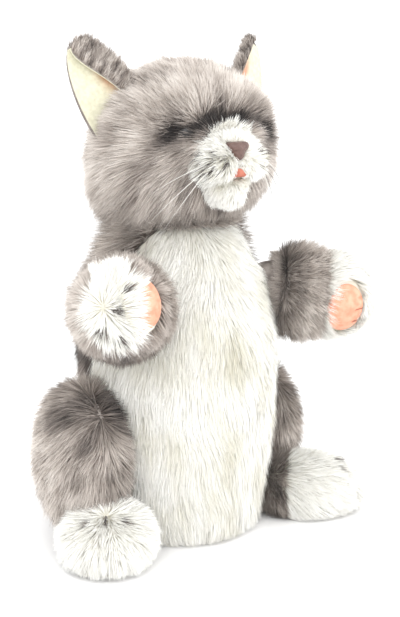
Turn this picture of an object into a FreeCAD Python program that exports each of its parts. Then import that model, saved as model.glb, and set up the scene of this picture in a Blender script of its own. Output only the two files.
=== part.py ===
import FreeCAD, Part
import math
import os
import re
import Sketcher

# A kitten hand puppet in plush, sitting on its hem and its two hind feet.
# Millimetres. +Z is up, the kitten faces -Y, and its left side is +X.
# The origin is the middle of the open hem, on the plane that the puppet stands on.
#
# The body is a sleeve for the puppeteer's hand: a grey back panel and a white belly
# panel over a smooth lining, open at the hem. Three pockets run up out of it, one
# into the head and one into each forepaw. The head turns and nods on the dome of the
# chest, each arm swings and lifts at its shoulder, and the stuffed hind legs and the
# tail hang from their seams.

doc = FreeCAD.newDocument("kitten_puppet")

# ---------------------------------------------------------------- driving sizes
SIZES = [
    # the sleeve
    ("hem_radius", 45, "outside radius of the sleeve at its hem"),
    ("hem_depth", 7, "height of the binding round the hem"),
    ("belly_radius", 56, "outside radius of the sleeve at its widest"),
    ("belly_height", 112, "height of the widest place"),
    ("chest_height", 158, "height of the centre of the chest dome, where the head turns"),
    ("chest_radius", 40, "radius of the chest dome"),
    ("chest_angle", 18, "slope above level where the flank runs into the dome"),
    ("neck_hole", 17, "radius of the opening that the index finger goes up"),
    ("plush_wall", 3, "thickness of the plush backing"),
    ("lining_wall", 1, "thickness of the lining"),
    ("panel_seam", 5, "how far behind the middle the side seams run"),
    ("panel_rise", 14, "lean of the side seams towards the throat, degrees"),
    ("label_width", 22, "width of the sewn-in label"),
    ("label_drop", 24, "height of the sewn-in label"),
    ("label_wall", 0.6, "thickness of the sewn-in label"),
    # the neck and the head
    ("joint_gap", 0.8, "gap between pieces that turn on each other"),
    ("gusset_wall", 2.6, "thickness of the gathered ring at the neck"),
    ("gusset_angle", 44, "how far the neck ring spreads from the upright, degrees"),
    ("head_width", 52, "half width of the head"),
    ("head_depth", 46, "half depth of the head"),
    ("head_rise", 45, "half height of the head"),
    ("head_height", 236, "height of the middle of the head"),
    ("head_back", -5, "how far behind the neck the middle of the head lies"),
    ("pocket_radius", 10, "inside radius of the finger pocket in the head"),
    ("pocket_top", 251, "height of the top of that pocket"),
    ("muzzle_width", 24, "half width of the muzzle"),
    ("muzzle_depth", 17, "half depth of the muzzle"),
    ("muzzle_rise", 21, "half height of the muzzle"),
    ("muzzle_front", 44, "how far in front of the neck the muzzle is centred"),
    ("muzzle_height", 226, "height of the middle of the muzzle"),
    ("nose_radius", 6.8, "radius of the nose"),
    ("nose_depth", 4.5, "how far the nose stands out"),
    ("nose_height", 237, "height of the middle of the nose"),
    ("stem_radius", 1.8, "radius of the stems of the nose and eyes"),
    ("stem_length", 13, "length of those stems"),
    ("washer_radius", 6, "radius of the locking washers"),
    ("washer_wall", 1.5, "thickness of the locking washers"),
    ("washer_set", 2, "how far the stems reach past their washers"),
    ("eye_radius", 6, "radius of an eye"),
    ("eye_turn", 33, "how far round from the front an eye is, degrees"),
    ("eye_rise", 12, "how far up from level an eye is, degrees"),
    ("eye_bulge", 3, "how far an eye stands out"),
    ("lip_width", 4.5, "half width of the lower lip"),
    ("lip_drop", 3, "how far below the middle of the muzzle the lower lip is"),
    ("ear_width", 38, "width of an ear at its root"),
    ("ear_length", 55, "length of an ear from its root line to its tip"),
    ("ear_brow", 16.5, "height above the root line up to which an ear's sides are straight"),
    ("ear_tip", 5, "how far below the tip the tip's arc is centred"),
    ("ear_tip_half", 4, "half width of an ear where the tip's arc starts"),
    ("ear_tip_drop", 2, "how far below the tip the tip's arc starts"),
    ("ear_wall", 2.6, "thickness of the ear's plush back"),
    ("ear_lining_wall", 1.4, "thickness of the ear's lining"),
    ("ear_rim", 3, "how far the lining stays inside the ear's edge"),
    ("ear_side", 39, "how far out the middle of an ear's root is"),
    ("ear_back", -1, "how far behind the neck it is"),
    ("ear_height", 249, "height of the middle of an ear's root"),
    ("ear_turn", 26, "how far an ear faces outwards, degrees"),
    ("ear_lean", 32, "how far an ear leans outwards, degrees"),
    ("whisker_radius", 0.35, "radius of a whisker"),
    ("whisker_length", 30, "length of a whisker"),
    ("whisker_out", 18.7, "how far from the middle line the whiskers are rooted"),
    ("whisker_front", 58.5, "how far in front of the neck the top whisker is rooted"),
    ("whisker_rise", 4, "how far above the middle of the muzzle the top whisker is rooted"),
    ("whisker_back_step", 3, "how far behind the one above it each whisker is rooted"),
    ("whisker_down_step", 5, "how far below the one above it each whisker is rooted"),
    ("whisker_drop", 94, "lean of the top whisker from the upright, degrees"),
    ("whisker_fan", 11, "further lean of each whisker below it, degrees"),
    ("whisker_sweep", 24, "how far the whiskers sweep back, degrees"),
    # the arms
    ("shoulder_stand", 2.5, "how far beyond the widest radius of the sleeve a shoulder joint is"),
    ("shoulder_round", 66, "how far round from the front a shoulder joint is, degrees"),
    ("shoulder_height", 145, "height of a shoulder joint"),
    ("shoulder_ball", 17, "radius of the gathered ball at the shoulder"),
    ("shoulder_wall", 3.5, "thickness of that ball"),
    ("arm_root", 7, "how far past the joint the arm's sleeve starts"),
    ("arm_root_radius", 19.5, "radius of the arm's sleeve there"),
    ("arm_middle", 21, "how far past the joint the arm is thickest"),
    ("arm_radius", 24.5, "radius of the arm at its thickest"),
    ("arm_wall", 2.5, "thickness of the arm's plush"),
    ("finger_radius", 9.5, "inside radius of the finger pocket in an arm"),
    ("finger_reach", 40, "how far past the joint that pocket ends"),
    ("pocket_gap", 0.5, "how far that pocket starts from the ball"),
    ("fill_gap", 1.2, "how far the stuffing round it starts from the ball"),
    ("cuff", 31, "how far past the joint the paw is sewn on"),
    ("paw_radius", 23.5, "radius of the paw"),
    ("paw_reach", 37, "how far past the joint the middle of the paw is"),
    ("palm_rise", 17, "half height of the palm pad"),
    ("palm_length", 12, "half length of the palm pad"),
    ("palm_bulge", 5, "half thickness of the palm pad before its back is hollowed to the paw"),
    ("palm_sink", 2, "how far the middle of that thickness is sunk in the paw"),
    ("left_palm_twist", 10, "how far the left palm is turned down from facing the other arm, degrees"),
    ("right_palm_twist", -20, "the same for the right palm"),
    ("left_wrist", 20, "how far the left palm is bent towards the end of the paw, degrees"),
    ("right_wrist", 50, "the same for the right palm"),
    ("left_arm_turn", 54, "how far round from the front the left arm points, degrees"),
    ("left_arm_lift", -6, "how far up from level the left arm points, degrees"),
    ("right_arm_turn", 38, "the same for the right arm"),
    ("right_arm_lift", 11, "the same for the right arm"),
    # the hind legs
    ("hip_sink", 0.4, "how far inside the widest radius of the sleeve the inner face of a thigh is"),
    ("hip_back", 2, "how far behind the middle line the hip seam is"),
    ("hip_drop", 1, "how far below the middle of a thigh its hip seam is"),
    ("hip_radius", 13, "radius of the hip seam"),
    ("thigh_stand", 16, "how far beyond the widest radius of the sleeve the middle of a thigh is"),
    ("thigh_front", 4, "how far in front of the middle line it is"),
    ("left_thigh_height", 46, "height of the middle of the left thigh"),
    ("right_thigh_height", 53, "height of the middle of the right thigh"),
    ("thigh_width", 20, "half width of a thigh"),
    ("thigh_depth", 32, "half depth of a thigh"),
    ("thigh_rise", 43, "half height of a thigh"),
    ("left_leg_turn", 17, "how far outwards the left leg is turned about the body, degrees"),
    ("right_leg_turn", 0, "how far outwards the right leg is turned about the body, degrees"),
    ("left_foot_stand", 20.5, "how far beyond the widest radius of the sleeve the middle of the left foot is"),
    ("left_foot_front", 33, "how far in front of the middle line it is"),
    ("right_foot_stand", 16, "how far beyond the widest radius of the sleeve the middle of the right foot is"),
    ("right_foot_front", 32, "how far in front of the middle line it is"),
    ("foot_height", 13, "height of the middle of a foot"),
    ("foot_width", 24.5, "half width of a foot"),
    ("foot_length", 31, "half length of a foot"),
    ("foot_rise", 20, "half height of a foot"),
    ("sole_wall", 2.5, "thickness of the sole pad"),
    ("left_foot_turn", 52, "how far outwards the left foot points, degrees"),
    ("right_foot_turn", 35, "how far outwards the right foot points, degrees"),
    # the tail
    ("tail_height", 36, "height of the tail seam"),
    ("tail_stand", 8, "how far outside the body the tail joint is"),
    ("tail_root", 10.5, "radius of the tail at its seam"),
    ("tail_end", 8, "radius of the tail at its end"),
    ("tail_length", 84, "length of the tail from its joint to the middle of its end"),
    ("tail_lift", 28, "how far up from level the tail points, degrees"),
    ("tail_turn", 36, "how far round to the left from straight back the tail points, degrees"),
]

sheet = doc.addObject("Spreadsheet::Sheet", "Sizes")
for row, (alias, value, note) in enumerate(SIZES, start=1):
    sheet.set(f"A{row}", alias)
    sheet.set(f"B{row}", str(value))
    sheet.set(f"C{row}", note)
    sheet.setAlias(f"B{row}", alias)
doc.recompute()

WORDS = re.compile(r"\b(" + "|".join(alias for alias, _, _ in SIZES) + r")\b")
SIDES = (("left", 1), ("right", -1))
parts = []


# ---------------------------------------------------------------- how pieces are made
def formula(text):
    """The text with each size's name turned into a reference to its cell."""
    return WORDS.sub(r"Sizes.\1", str(text))


def number(text):
    """What a formula comes to now."""
    found = sheet.evalExpression(formula(text))
    return float(getattr(found, "Value", found))


def bind(thing, **formulas):
    for prop, text in formulas.items():
        thing.setExpression(prop, formula(text))
    return thing


def place(thing, x=0, y=0, z=0, yaw=0, pitch=0, roll=0, twist=0):
    """Ties the piece's place to the sheet: twisted about its own Z, turned about X by roll,
    then about Y, then about Z, then moved."""
    turn = f"rotation({yaw}; {pitch}; {roll}) * rotation({twist}; 0; 0)"
    text = f"placement(vector({x}; {y}; {z}); {turn})"
    thing.setExpression("Placement", formula(text))
    return thing


def primitive(kind, name, **formulas):
    return bind(doc.addObject("Part::" + kind, name), **formulas)


def ellipsoid(name, along_x, along_y, along_z, **where):
    solid = primitive("Ellipsoid", name, Radius1=along_z, Radius2=along_x, Radius3=along_y)
    solid.Angle1, solid.Angle2, solid.Angle3 = -90, 90, 360
    return place(solid, **where)


def sphere(name, radius, **where):
    return place(primitive("Sphere", name, Radius=radius), **where)


def cylinder(name, radius, length, **where):
    return place(primitive("Cylinder", name, Radius=radius, Height=length), **where)


def cut(name, base, tool):
    made = doc.addObject("Part::Cut", name)
    made.Base, made.Tool = base, tool
    return made


def common(name, base, tool):
    made = doc.addObject("Part::Common", name)
    made.Base, made.Tool = base, tool
    return made


def fuse(name, *solids):
    made = doc.addObject("Part::MultiFuse", name)
    made.Shapes = list(solids)
    return made


def part(thing, node):
    """Marks the finished piece: its label names its node and its file."""
    thing.Label = node
    parts.append(thing)
    return thing


def arc_between(start, end, known, value):
    """The arc from start to end whose centre has the given x or y, and whether it runs end to start."""
    (x1, y1), (x2, y2) = start, end
    if known == "y":
        cy = value
        cx = (x1 * x1 - x2 * x2 + (y1 - cy) ** 2 - (y2 - cy) ** 2) / (2 * (x1 - x2))
    else:
        cx = value
        cy = (y1 * y1 - y2 * y2 + (x1 - cx) ** 2 - (x2 - cx) ** 2) / (2 * (y1 - y2))
    radius = math.hypot(x1 - cx, y1 - cy)
    from_angle, to_angle = math.atan2(y1 - cy, x1 - cx), math.atan2(y2 - cy, x2 - cx)
    swapped = (to_angle - from_angle) % (2 * math.pi) > math.pi
    if swapped:
        from_angle, to_angle = to_angle, from_angle
    circle = Part.Circle(FreeCAD.Vector(cx, cy, 0), FreeCAD.Vector(0, 0, 1), radius)
    return Part.ArcOfCircle(circle, from_angle, to_angle), swapped


def outline(body, plane, points):
    """A closed sketch on one of the body's planes. Each point is (x, y) or (x, y, known, value):
    the last two make the stretch to the next point an arc whose centre has that x or y."""
    sketch = body.newObject("Sketcher::SketchObject", body.Name + "_outline")
    base = [f for f in body.Origin.OriginFeatures if f.Role == plane][0]
    sketch.AttachmentSupport = [(base, "")]
    sketch.MapMode = "FlatFace"
    spots = [(number(p[0]), number(p[1])) for p in points]
    ends = []
    for n, point in enumerate(points):
        start, end = spots[n], spots[(n + 1) % len(points)]
        if len(point) == 4:
            curve, swapped = arc_between(start, end, point[2], number(point[3]))
        else:
            curve, swapped = Part.LineSegment(FreeCAD.Vector(*start, 0), FreeCAD.Vector(*end, 0)), False
        edge = sketch.addGeometry(curve, False)
        ends.append((edge, 2 if swapped else 1, 1 if swapped else 2))
    for n, point in enumerate(points):
        edge, first, last = ends[n]
        following, its_first, _ = ends[(n + 1) % len(points)]
        sketch.addConstraint(Sketcher.Constraint("Coincident", edge, last, following, its_first))
        for letter, text, spot in zip("XY", point, spots[n]):
            row = sketch.addConstraint(
                Sketcher.Constraint("Distance" + letter, -1, 1, edge, first, spot)
            )
            sketch.setExpression(f"Constraints[{row}]", formula(text))
        if len(point) == 4:
            row = sketch.addConstraint(
                Sketcher.Constraint("Distance" + point[2].upper(), -1, 1, edge, 3, number(point[3]))
            )
            sketch.setExpression(f"Constraints[{row}]", formula(point[3]))
    return sketch


def turned(name, points, **where):
    """A body turned about its own Z axis. Each point's x is its radius and its y is its height."""
    body = doc.addObject("PartDesign::Body", name)
    sketch = outline(body, "XZ_Plane", points)
    turn = body.newObject("PartDesign::Revolution", name + "_turn")
    turn.Profile = sketch
    turn.ReferenceAxis = (sketch, ["V_Axis"])
    turn.Angle = 360
    sketch.Visibility = False
    return place(body, **where)


def padded(name, points, depth, plane="XY_Plane", middle=False, **where):
    """A body padded out to one side of its sketch, or half to each side if middle is True."""
    body = doc.addObject("PartDesign::Body", name)
    sketch = outline(body, plane, points)
    pad = body.newObject("PartDesign::Pad", name + "_pad")
    pad.Profile = sketch
    pad.Midplane = middle
    bind(pad, Length=depth)
    return place(body, **where)


def backwards(points):
    """The same line the other way, each arc still on its own stretch."""
    spots = [p[:2] for p in points]
    bends = [p[2:] for p in points[:-1]] + [()]
    return [spots[n] + (bends[n - 1] if n else ()) for n in range(len(spots) - 1, -1, -1)]


# ---------------------------------------------------------------- the sleeve
def sleeve_line(inset):
    """The side of the sleeve from the hem up to the neck hole, this far inside the plush face."""
    dome = f"(chest_radius - {inset})"
    return [
        (f"hem_radius - {inset}", "hem_depth", "y", "belly_height"),
        (f"belly_radius - {inset}", "belly_height", "y", "belly_height"),
        (f"{dome} * cos(chest_angle)", f"chest_height + {dome} * sin(chest_angle)", "x", "0"),
        ("neck_hole", f"chest_height + sqrt({dome}^2 - neck_hole^2)"),
    ]


def sleeve_side(height):
    """The radius of the sleeve's face at a height below the widest place."""
    bow = "(((belly_radius - hem_radius)^2 + (belly_height - hem_depth)^2) / (2 * (belly_radius - hem_radius)))"
    return f"(belly_radius - {bow} + sqrt({bow}^2 - (belly_height - {height})^2))"


def shoulder(sign):
    """The place of a shoulder joint."""
    return {
        "x": f"{sign} * (belly_radius + shoulder_stand) * sin(shoulder_round)",
        "y": "-(belly_radius + shoulder_stand) * cos(shoulder_round)",
        "z": "shoulder_height",
    }


def sleeve():
    armholes = [sphere(f"armhole_{side}", "shoulder_ball + joint_gap", **shoulder(sign))
                for side, sign in SIDES]
    tail_seat = sphere("tail_seat", "tail_root + joint_gap", **tail_joint())
    openings = fuse("sleeve_openings", *armholes, tail_seat)

    # One turned shell of plush, parted along the side seams into back and belly.
    shell = turned("plush_shell", sleeve_line("0") + backwards(sleeve_line("plush_wall")))
    cut_shell = cut("plush_shell_open", shell, openings)
    lean = "(chest_height - belly_height) * tan(panel_rise)"
    front = padded("front_side", [
        ("panel_seam", "-10"),
        ("panel_seam", "belly_height"),
        (f"panel_seam - 2 * {lean}", "2 * chest_height - belly_height"),
        ("-2 * belly_radius", "2 * chest_height - belly_height"),
        ("-2 * belly_radius", "-10"),
    ], "4 * belly_radius", plane="YZ_Plane", middle=True)
    part(common("belly_cut", cut_shell, front), "belly_panel")
    part(cut("back_cut", cut_shell, front), "back_panel")

    # The lining is a smooth sleeve sewn to the plush at the hem and at each opening.
    lining_face = "(plush_wall + lining_wall)"
    inner = turned("lining_shell", sleeve_line("plush_wall") + backwards(sleeve_line(lining_face)))
    part(cut("lining_cut", inner, openings), "sleeve_lining")

    # The binding turns up the raw edges of plush and lining and is what the body stands on.
    ring = turned("hem_ring", [
        ("hem_radius - plush_wall - lining_wall", "0"),
        ("hem_radius", "0"),
        ("hem_radius", "hem_depth"),
        ("hem_radius - plush_wall - lining_wall", "hem_depth"),
    ])
    part(ring, "hem_binding")

    # A blank care label, caught in the lining near the hem and hanging inside the sleeve.
    tag = primitive("Box", "label_tag", Length="label_width", Width="label_wall", Height="label_drop")
    place(tag, x="-label_width / 2",
          y="sqrt((hem_radius - plush_wall - lining_wall)^2 - (label_width / 2)^2) - 2 * label_wall",
          z="hem_depth")
    part(tag, "care_label")


# ---------------------------------------------------------------- the neck and the head
def neck():
    """A gathered ring of plush that rides on the chest dome and carries the head."""
    inner, outer = "(chest_radius + joint_gap)", "(chest_radius + joint_gap + gusset_wall)"
    ring = turned("neck_turned", [
        ("neck_hole", f"sqrt({inner}^2 - neck_hole^2)", "x", "0"),
        (f"{inner} * sin(gusset_angle)", f"{inner} * cos(gusset_angle)"),
        (f"{outer} * sin(gusset_angle)", f"{outer} * cos(gusset_angle)", "x", "0"),
        ("neck_hole", f"sqrt({outer}^2 - neck_hole^2)"),
    ], z="chest_height")
    part(ring, "neck_gusset")


def head_ball(name, inset, **middle):
    return ellipsoid(name, f"head_width - {inset}", f"head_depth - {inset}", f"head_rise - {inset}",
                     y="head_back", z="head_height")


def eye_place(sign):
    """On the head's face, looking straight out of it."""
    spread = ("sqrt((sin(eye_turn) * cos(eye_rise) / head_width)^2 + (cos(eye_turn) * cos(eye_rise) / "
              "head_depth)^2 + (sin(eye_rise) / head_rise)^2)")
    return {
        "x": f"{sign} * sin(eye_turn) * cos(eye_rise) / {spread}",
        "y": f"head_back - cos(eye_turn) * cos(eye_rise) / {spread}",
        "z": f"head_height + sin(eye_rise) / {spread}",
        "yaw": f"{sign} * eye_turn",
        "roll": "90 - eye_rise",
    }


def stemmed(name, radius, bulge, **where):
    """A moulded button with a stem behind it. It faces along its own +Z."""
    return turned(name, [
        ("0", "-stem_length"),
        ("stem_radius", "-stem_length"),
        ("stem_radius", "-1"),
        (radius, "-1"),
        (radius, "0", "x", "0"),
        ("0", bulge),
    ], **where)


def washer(name, **where):
    return turned(name, [
        ("stem_radius", "washer_set - stem_length"),
        ("washer_radius", "washer_set - stem_length"),
        ("washer_radius", "washer_set - stem_length + washer_wall"),
        ("stem_radius", "washer_set - stem_length + washer_wall"),
    ], **where)


def head():
    socket = sphere("head_socket", "chest_radius + 2 * joint_gap + gusset_wall", z="chest_height")
    pocket_floor = "chest_height"
    pocket_face = "(pocket_radius + lining_wall)"

    # Eyes and nose are moulded, each with a stem through the skin and a washer behind it.
    fittings = []
    for side, sign in SIDES:
        where = eye_place(sign)
        eye = part(stemmed(f"eye_turned_{side}", "eye_radius", "eye_bulge", **where),
                   f"eye_{side}")
        ring = part(washer(f"eye_ring_{side}", **where), f"eye_washer_{side}")
        fittings += [eye, ring]
    nose_front = "muzzle_front + muzzle_depth * sqrt(1 - ((nose_height - muzzle_height) / muzzle_rise)^2)"
    nose_at = {"y": f"-({nose_front})", "z": "nose_height", "roll": "90"}
    nose = part(stemmed("nose_turned", "nose_radius", "nose_depth", **nose_at), "nose")
    nose_ring = part(washer("nose_ring", **nose_at), "nose_washer")
    fittings += [nose, nose_ring]
    fitted = fuse("head_fittings", *fittings)

    # The pocket that the index finger nods the head with.
    tube = turned("head_pocket_turned", [
        ("pocket_radius", pocket_floor),
        (pocket_face, pocket_floor),
        (pocket_face, "pocket_top - pocket_radius", "x", "0"),
        ("0", "pocket_top + lining_wall"),
        ("0", "pocket_top", "x", "0"),
        ("pocket_radius", "pocket_top - pocket_radius"),
    ])
    part(cut("head_pocket_cut", tube, socket), "head_finger_pocket")
    core = turned("head_pocket_core", [
        ("0", pocket_floor),
        (pocket_face, pocket_floor),
        (pocket_face, "pocket_top - pocket_radius", "x", "0"),
        ("0", "pocket_top + lining_wall"),
    ])

    # The skin, sewn shut round the stuffing, and the stuffing round the pocket.
    hollows = fuse("head_hollows", socket, core, fitted)
    skin = cut("head_skin_shell", head_ball("head_outside", "0"), head_ball("head_inside", "plush_wall"))
    part(cut("head_skin_cut", skin, hollows), "head_skin")
    part(cut("head_fill_cut", head_ball("head_fill", "plush_wall"), hollows), "head_stuffing")

    # The white muzzle is a stuffed patch on the front of the skin, and the lip is felt.
    lump = ellipsoid("muzzle_lump", "muzzle_width", "muzzle_depth", "muzzle_rise",
                     y="-muzzle_front", z="muzzle_height")
    behind = fuse("muzzle_behind", head_ball("head_behind_muzzle", "0"), nose, nose_ring)
    muzzle = part(cut("muzzle_cut", lump, behind), "muzzle")
    lip_height = "(muzzle_height - lip_drop)"
    lip_front = f"muzzle_front + muzzle_depth * sqrt(1 - (({lip_height} - muzzle_height) / muzzle_rise)^2)"
    lip = ellipsoid("lip_lump", "lip_width", "lip_width / 2", "lip_width / 2",
                    y=f"-({lip_front})", z=lip_height)
    part(cut("lip_cut", lip, muzzle), "lower_lip")
    return muzzle


def ears():
    for side, sign in SIDES:
        where = {"x": f"{sign} * ear_side", "y": "ear_back", "z": "ear_height",
                 "yaw": f"{sign} * ear_turn", "pitch": f"{sign} * ear_lean", "roll": "90"}
        back = padded(f"ear_back_{side}", ear_outline("0"), "-ear_wall", **where)
        front = padded(f"ear_front_{side}", ear_outline("ear_rim"), "ear_lining_wall", **where)
        root = head_ball(f"ear_root_{side}", "0")
        part(cut(f"ear_back_cut_{side}", back, root), f"ear_{side}_back")
        part(cut(f"ear_front_cut_{side}", front, root), f"ear_{side}_lining")


def ear_outline(inset):
    """A leaf with a broad root and a rounded tip: two bowed sides and the tip's arc."""
    half, tip = f"(ear_width / 2 - {inset})", f"(ear_length - {inset})"
    return [
        (f"-{half}", "0"),
        (half, "0"),
        (half, "ear_brow", "y", "ear_brow"),
        ("ear_tip_half", f"{tip} - ear_tip_drop", "y", f"{tip} - ear_tip"),
        ("-ear_tip_half", f"{tip} - ear_tip_drop", "y", "ear_brow"),
        (f"-{half}", "ear_brow"),
    ]


def whiskers(muzzle):
    """Three stiff hairs on each cheek of the muzzle, fanned back and out, from its face outwards."""
    for side, sign in SIDES:
        hairs = []
        for n in range(3):
            hair = cylinder(f"whisker_{side}_{n}", "whisker_radius", "whisker_length",
                            x=f"{sign} * whisker_out",
                            y=f"{n} * whisker_back_step - whisker_front",
                            z=f"muzzle_height + whisker_rise - {n} * whisker_down_step",
                            pitch=f"{sign} * (whisker_drop + {n} * whisker_fan)",
                            yaw=f"{sign} * whisker_sweep")
            hairs.append(hair)
        joined = fuse(f"whiskers_joined_{side}", *hairs)
        part(cut(f"whiskers_cut_{side}", joined, muzzle), f"whiskers_{side}")


# ---------------------------------------------------------------- the arms
def arm_line(inset):
    """The side of the arm from its root to the cuff."""
    return [
        (f"arm_root_radius - {inset}", "arm_root", "y", "arm_middle"),
        (f"arm_radius - {inset}", "arm_middle", "y", "arm_middle"),
        (f"sqrt(paw_radius^2 - (paw_reach - cuff)^2) - {inset}", "cuff"),
    ]


def arms():
    seat = "(shoulder_ball + joint_gap)"
    tube_face = "(finger_radius + lining_wall)"
    finger_root = f"sqrt({seat}^2 - finger_radius^2)"
    for side, sign in SIDES:
        where = {**shoulder(sign), "yaw": f"{sign} * {side}_arm_turn", "roll": f"90 - {side}_arm_lift"}

        # The gathered ball that the arm turns on, open right through for the finger.
        hollow = "(shoulder_ball - shoulder_wall)"
        ball = turned(f"shoulder_turned_{side}", [
            (tube_face, f"-sqrt(shoulder_ball^2 - {tube_face}^2)", "x", "0"),
            ("shoulder_ball", "0", "x", "0"),
            (tube_face, f"sqrt(shoulder_ball^2 - {tube_face}^2)"),
            (tube_face, f"sqrt({hollow}^2 - {tube_face}^2)", "x", "0"),
            (hollow, "0", "x", "0"),
            (tube_face, f"-sqrt({hollow}^2 - {tube_face}^2)"),
        ], **where)
        part(ball, f"shoulder_gusset_{side}")

        skin = turned(f"arm_skin_{side}", arm_line("0") + backwards(arm_line("arm_wall")), **where)
        part(skin, f"arm_sleeve_{side}")

        # Stuffing keeps the sleeve round about the finger pocket.
        fill = turned(f"arm_fill_{side}", [
            ("arm_root_radius - arm_wall", f"sqrt({seat}^2 - (arm_root_radius - arm_wall)^2) + fill_gap"),
            *arm_line("arm_wall")[1:],
            (tube_face, "cuff"),
            (tube_face, f"sqrt({seat}^2 - {tube_face}^2) + fill_gap"),
        ], **where)
        part(fill, f"arm_stuffing_{side}")

        tube = turned(f"arm_pocket_turned_{side}", [
            ("finger_radius", f"{finger_root} + pocket_gap"),
            (tube_face, f"{finger_root} + pocket_gap"),
            (tube_face, "finger_reach - finger_radius", "x", "0"),
            ("0", "finger_reach + lining_wall"),
            ("0", "finger_reach", "x", "0"),
            ("finger_radius", "finger_reach - finger_radius"),
        ], **where)
        part(tube, f"arm_finger_pocket_{side}")

        # The white paw: skin, stuffing past the end of the pocket, and a felt palm.
        inside = "(paw_radius - arm_wall)"
        cuff_face = "sqrt(paw_radius^2 - (paw_reach - cuff)^2)"
        paw = turned(f"paw_skin_{side}", [
            (f"{cuff_face} - arm_wall", "cuff"),
            (cuff_face, "cuff", "x", "0"),
            ("paw_radius", "paw_reach", "x", "0"),
            ("0", "paw_reach + paw_radius"),
            ("0", f"paw_reach + {inside}", "x", "0"),
            (inside, "paw_reach"),
        ], **where)
        part(paw, f"paw_{side}")
        stuffing = turned(f"paw_fill_{side}", [
            (tube_face, "cuff"),
            (f"{cuff_face} - arm_wall", "cuff"),
            (inside, "paw_reach", "x", "0"),
            ("0", f"paw_reach + {inside}"),
            ("0", "finger_reach + lining_wall", "x", "0"),
            (tube_face, "finger_reach - finger_radius"),
        ], **where)
        part(stuffing, f"paw_stuffing_{side}")

        # The palm faces the other arm.
        out = "(paw_radius - palm_sink)"
        pad = ellipsoid(f"palm_lump_{side}", "palm_bulge", "palm_rise", "palm_length",
                        x=f"-{sign} * {out} * cos({side}_wrist)", z=f"paw_reach + {out} * sin({side}_wrist)",
                        yaw=f"90 + {sign} * 90", pitch=f"-{side}_wrist")
        round_paw = sphere(f"palm_behind_{side}", "paw_radius", z="paw_reach")
        palm = place(cut(f"palm_cut_{side}", pad, round_paw), twist=f"{sign} * {side}_palm_twist", **where)
        part(palm, f"palm_pad_{side}")


# ---------------------------------------------------------------- the hind legs
def oval_pad(name, half_long, half_short, depth, **where):
    """An oval, long in its own Y, padded upwards."""
    body = doc.addObject("PartDesign::Body", name)
    sketch = body.newObject("Sketcher::SketchObject", name + "_outline")
    base = [f for f in body.Origin.OriginFeatures if f.Role == "XY_Plane"][0]
    sketch.AttachmentSupport = [(base, "")]
    sketch.MapMode = "FlatFace"
    centre, end = FreeCAD.Vector(0, 0, 0), FreeCAD.Vector(0, number(half_long), 0)
    sketch.addGeometry(Part.Ellipse(end, FreeCAD.Vector(number(half_short), 0, 0), centre), False)
    sketch.exposeInternalGeometry(0)
    sketch.addConstraint(Sketcher.Constraint("Coincident", 0, 3, -1, 1))
    sketch.addConstraint(Sketcher.Constraint("PointOnObject", 1, 1, -2))
    for axis, half in ((1, half_long), (2, half_short)):
        row = sketch.addConstraint(Sketcher.Constraint("Distance", axis, 2 * number(half)))
        sketch.setExpression(f"Constraints[{row}]", formula(f"2 * {half}"))
    pad = body.newObject("PartDesign::Pad", name + "_pad")
    pad.Profile = sketch
    bind(pad, Length=depth)
    return place(body, **where)


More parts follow.
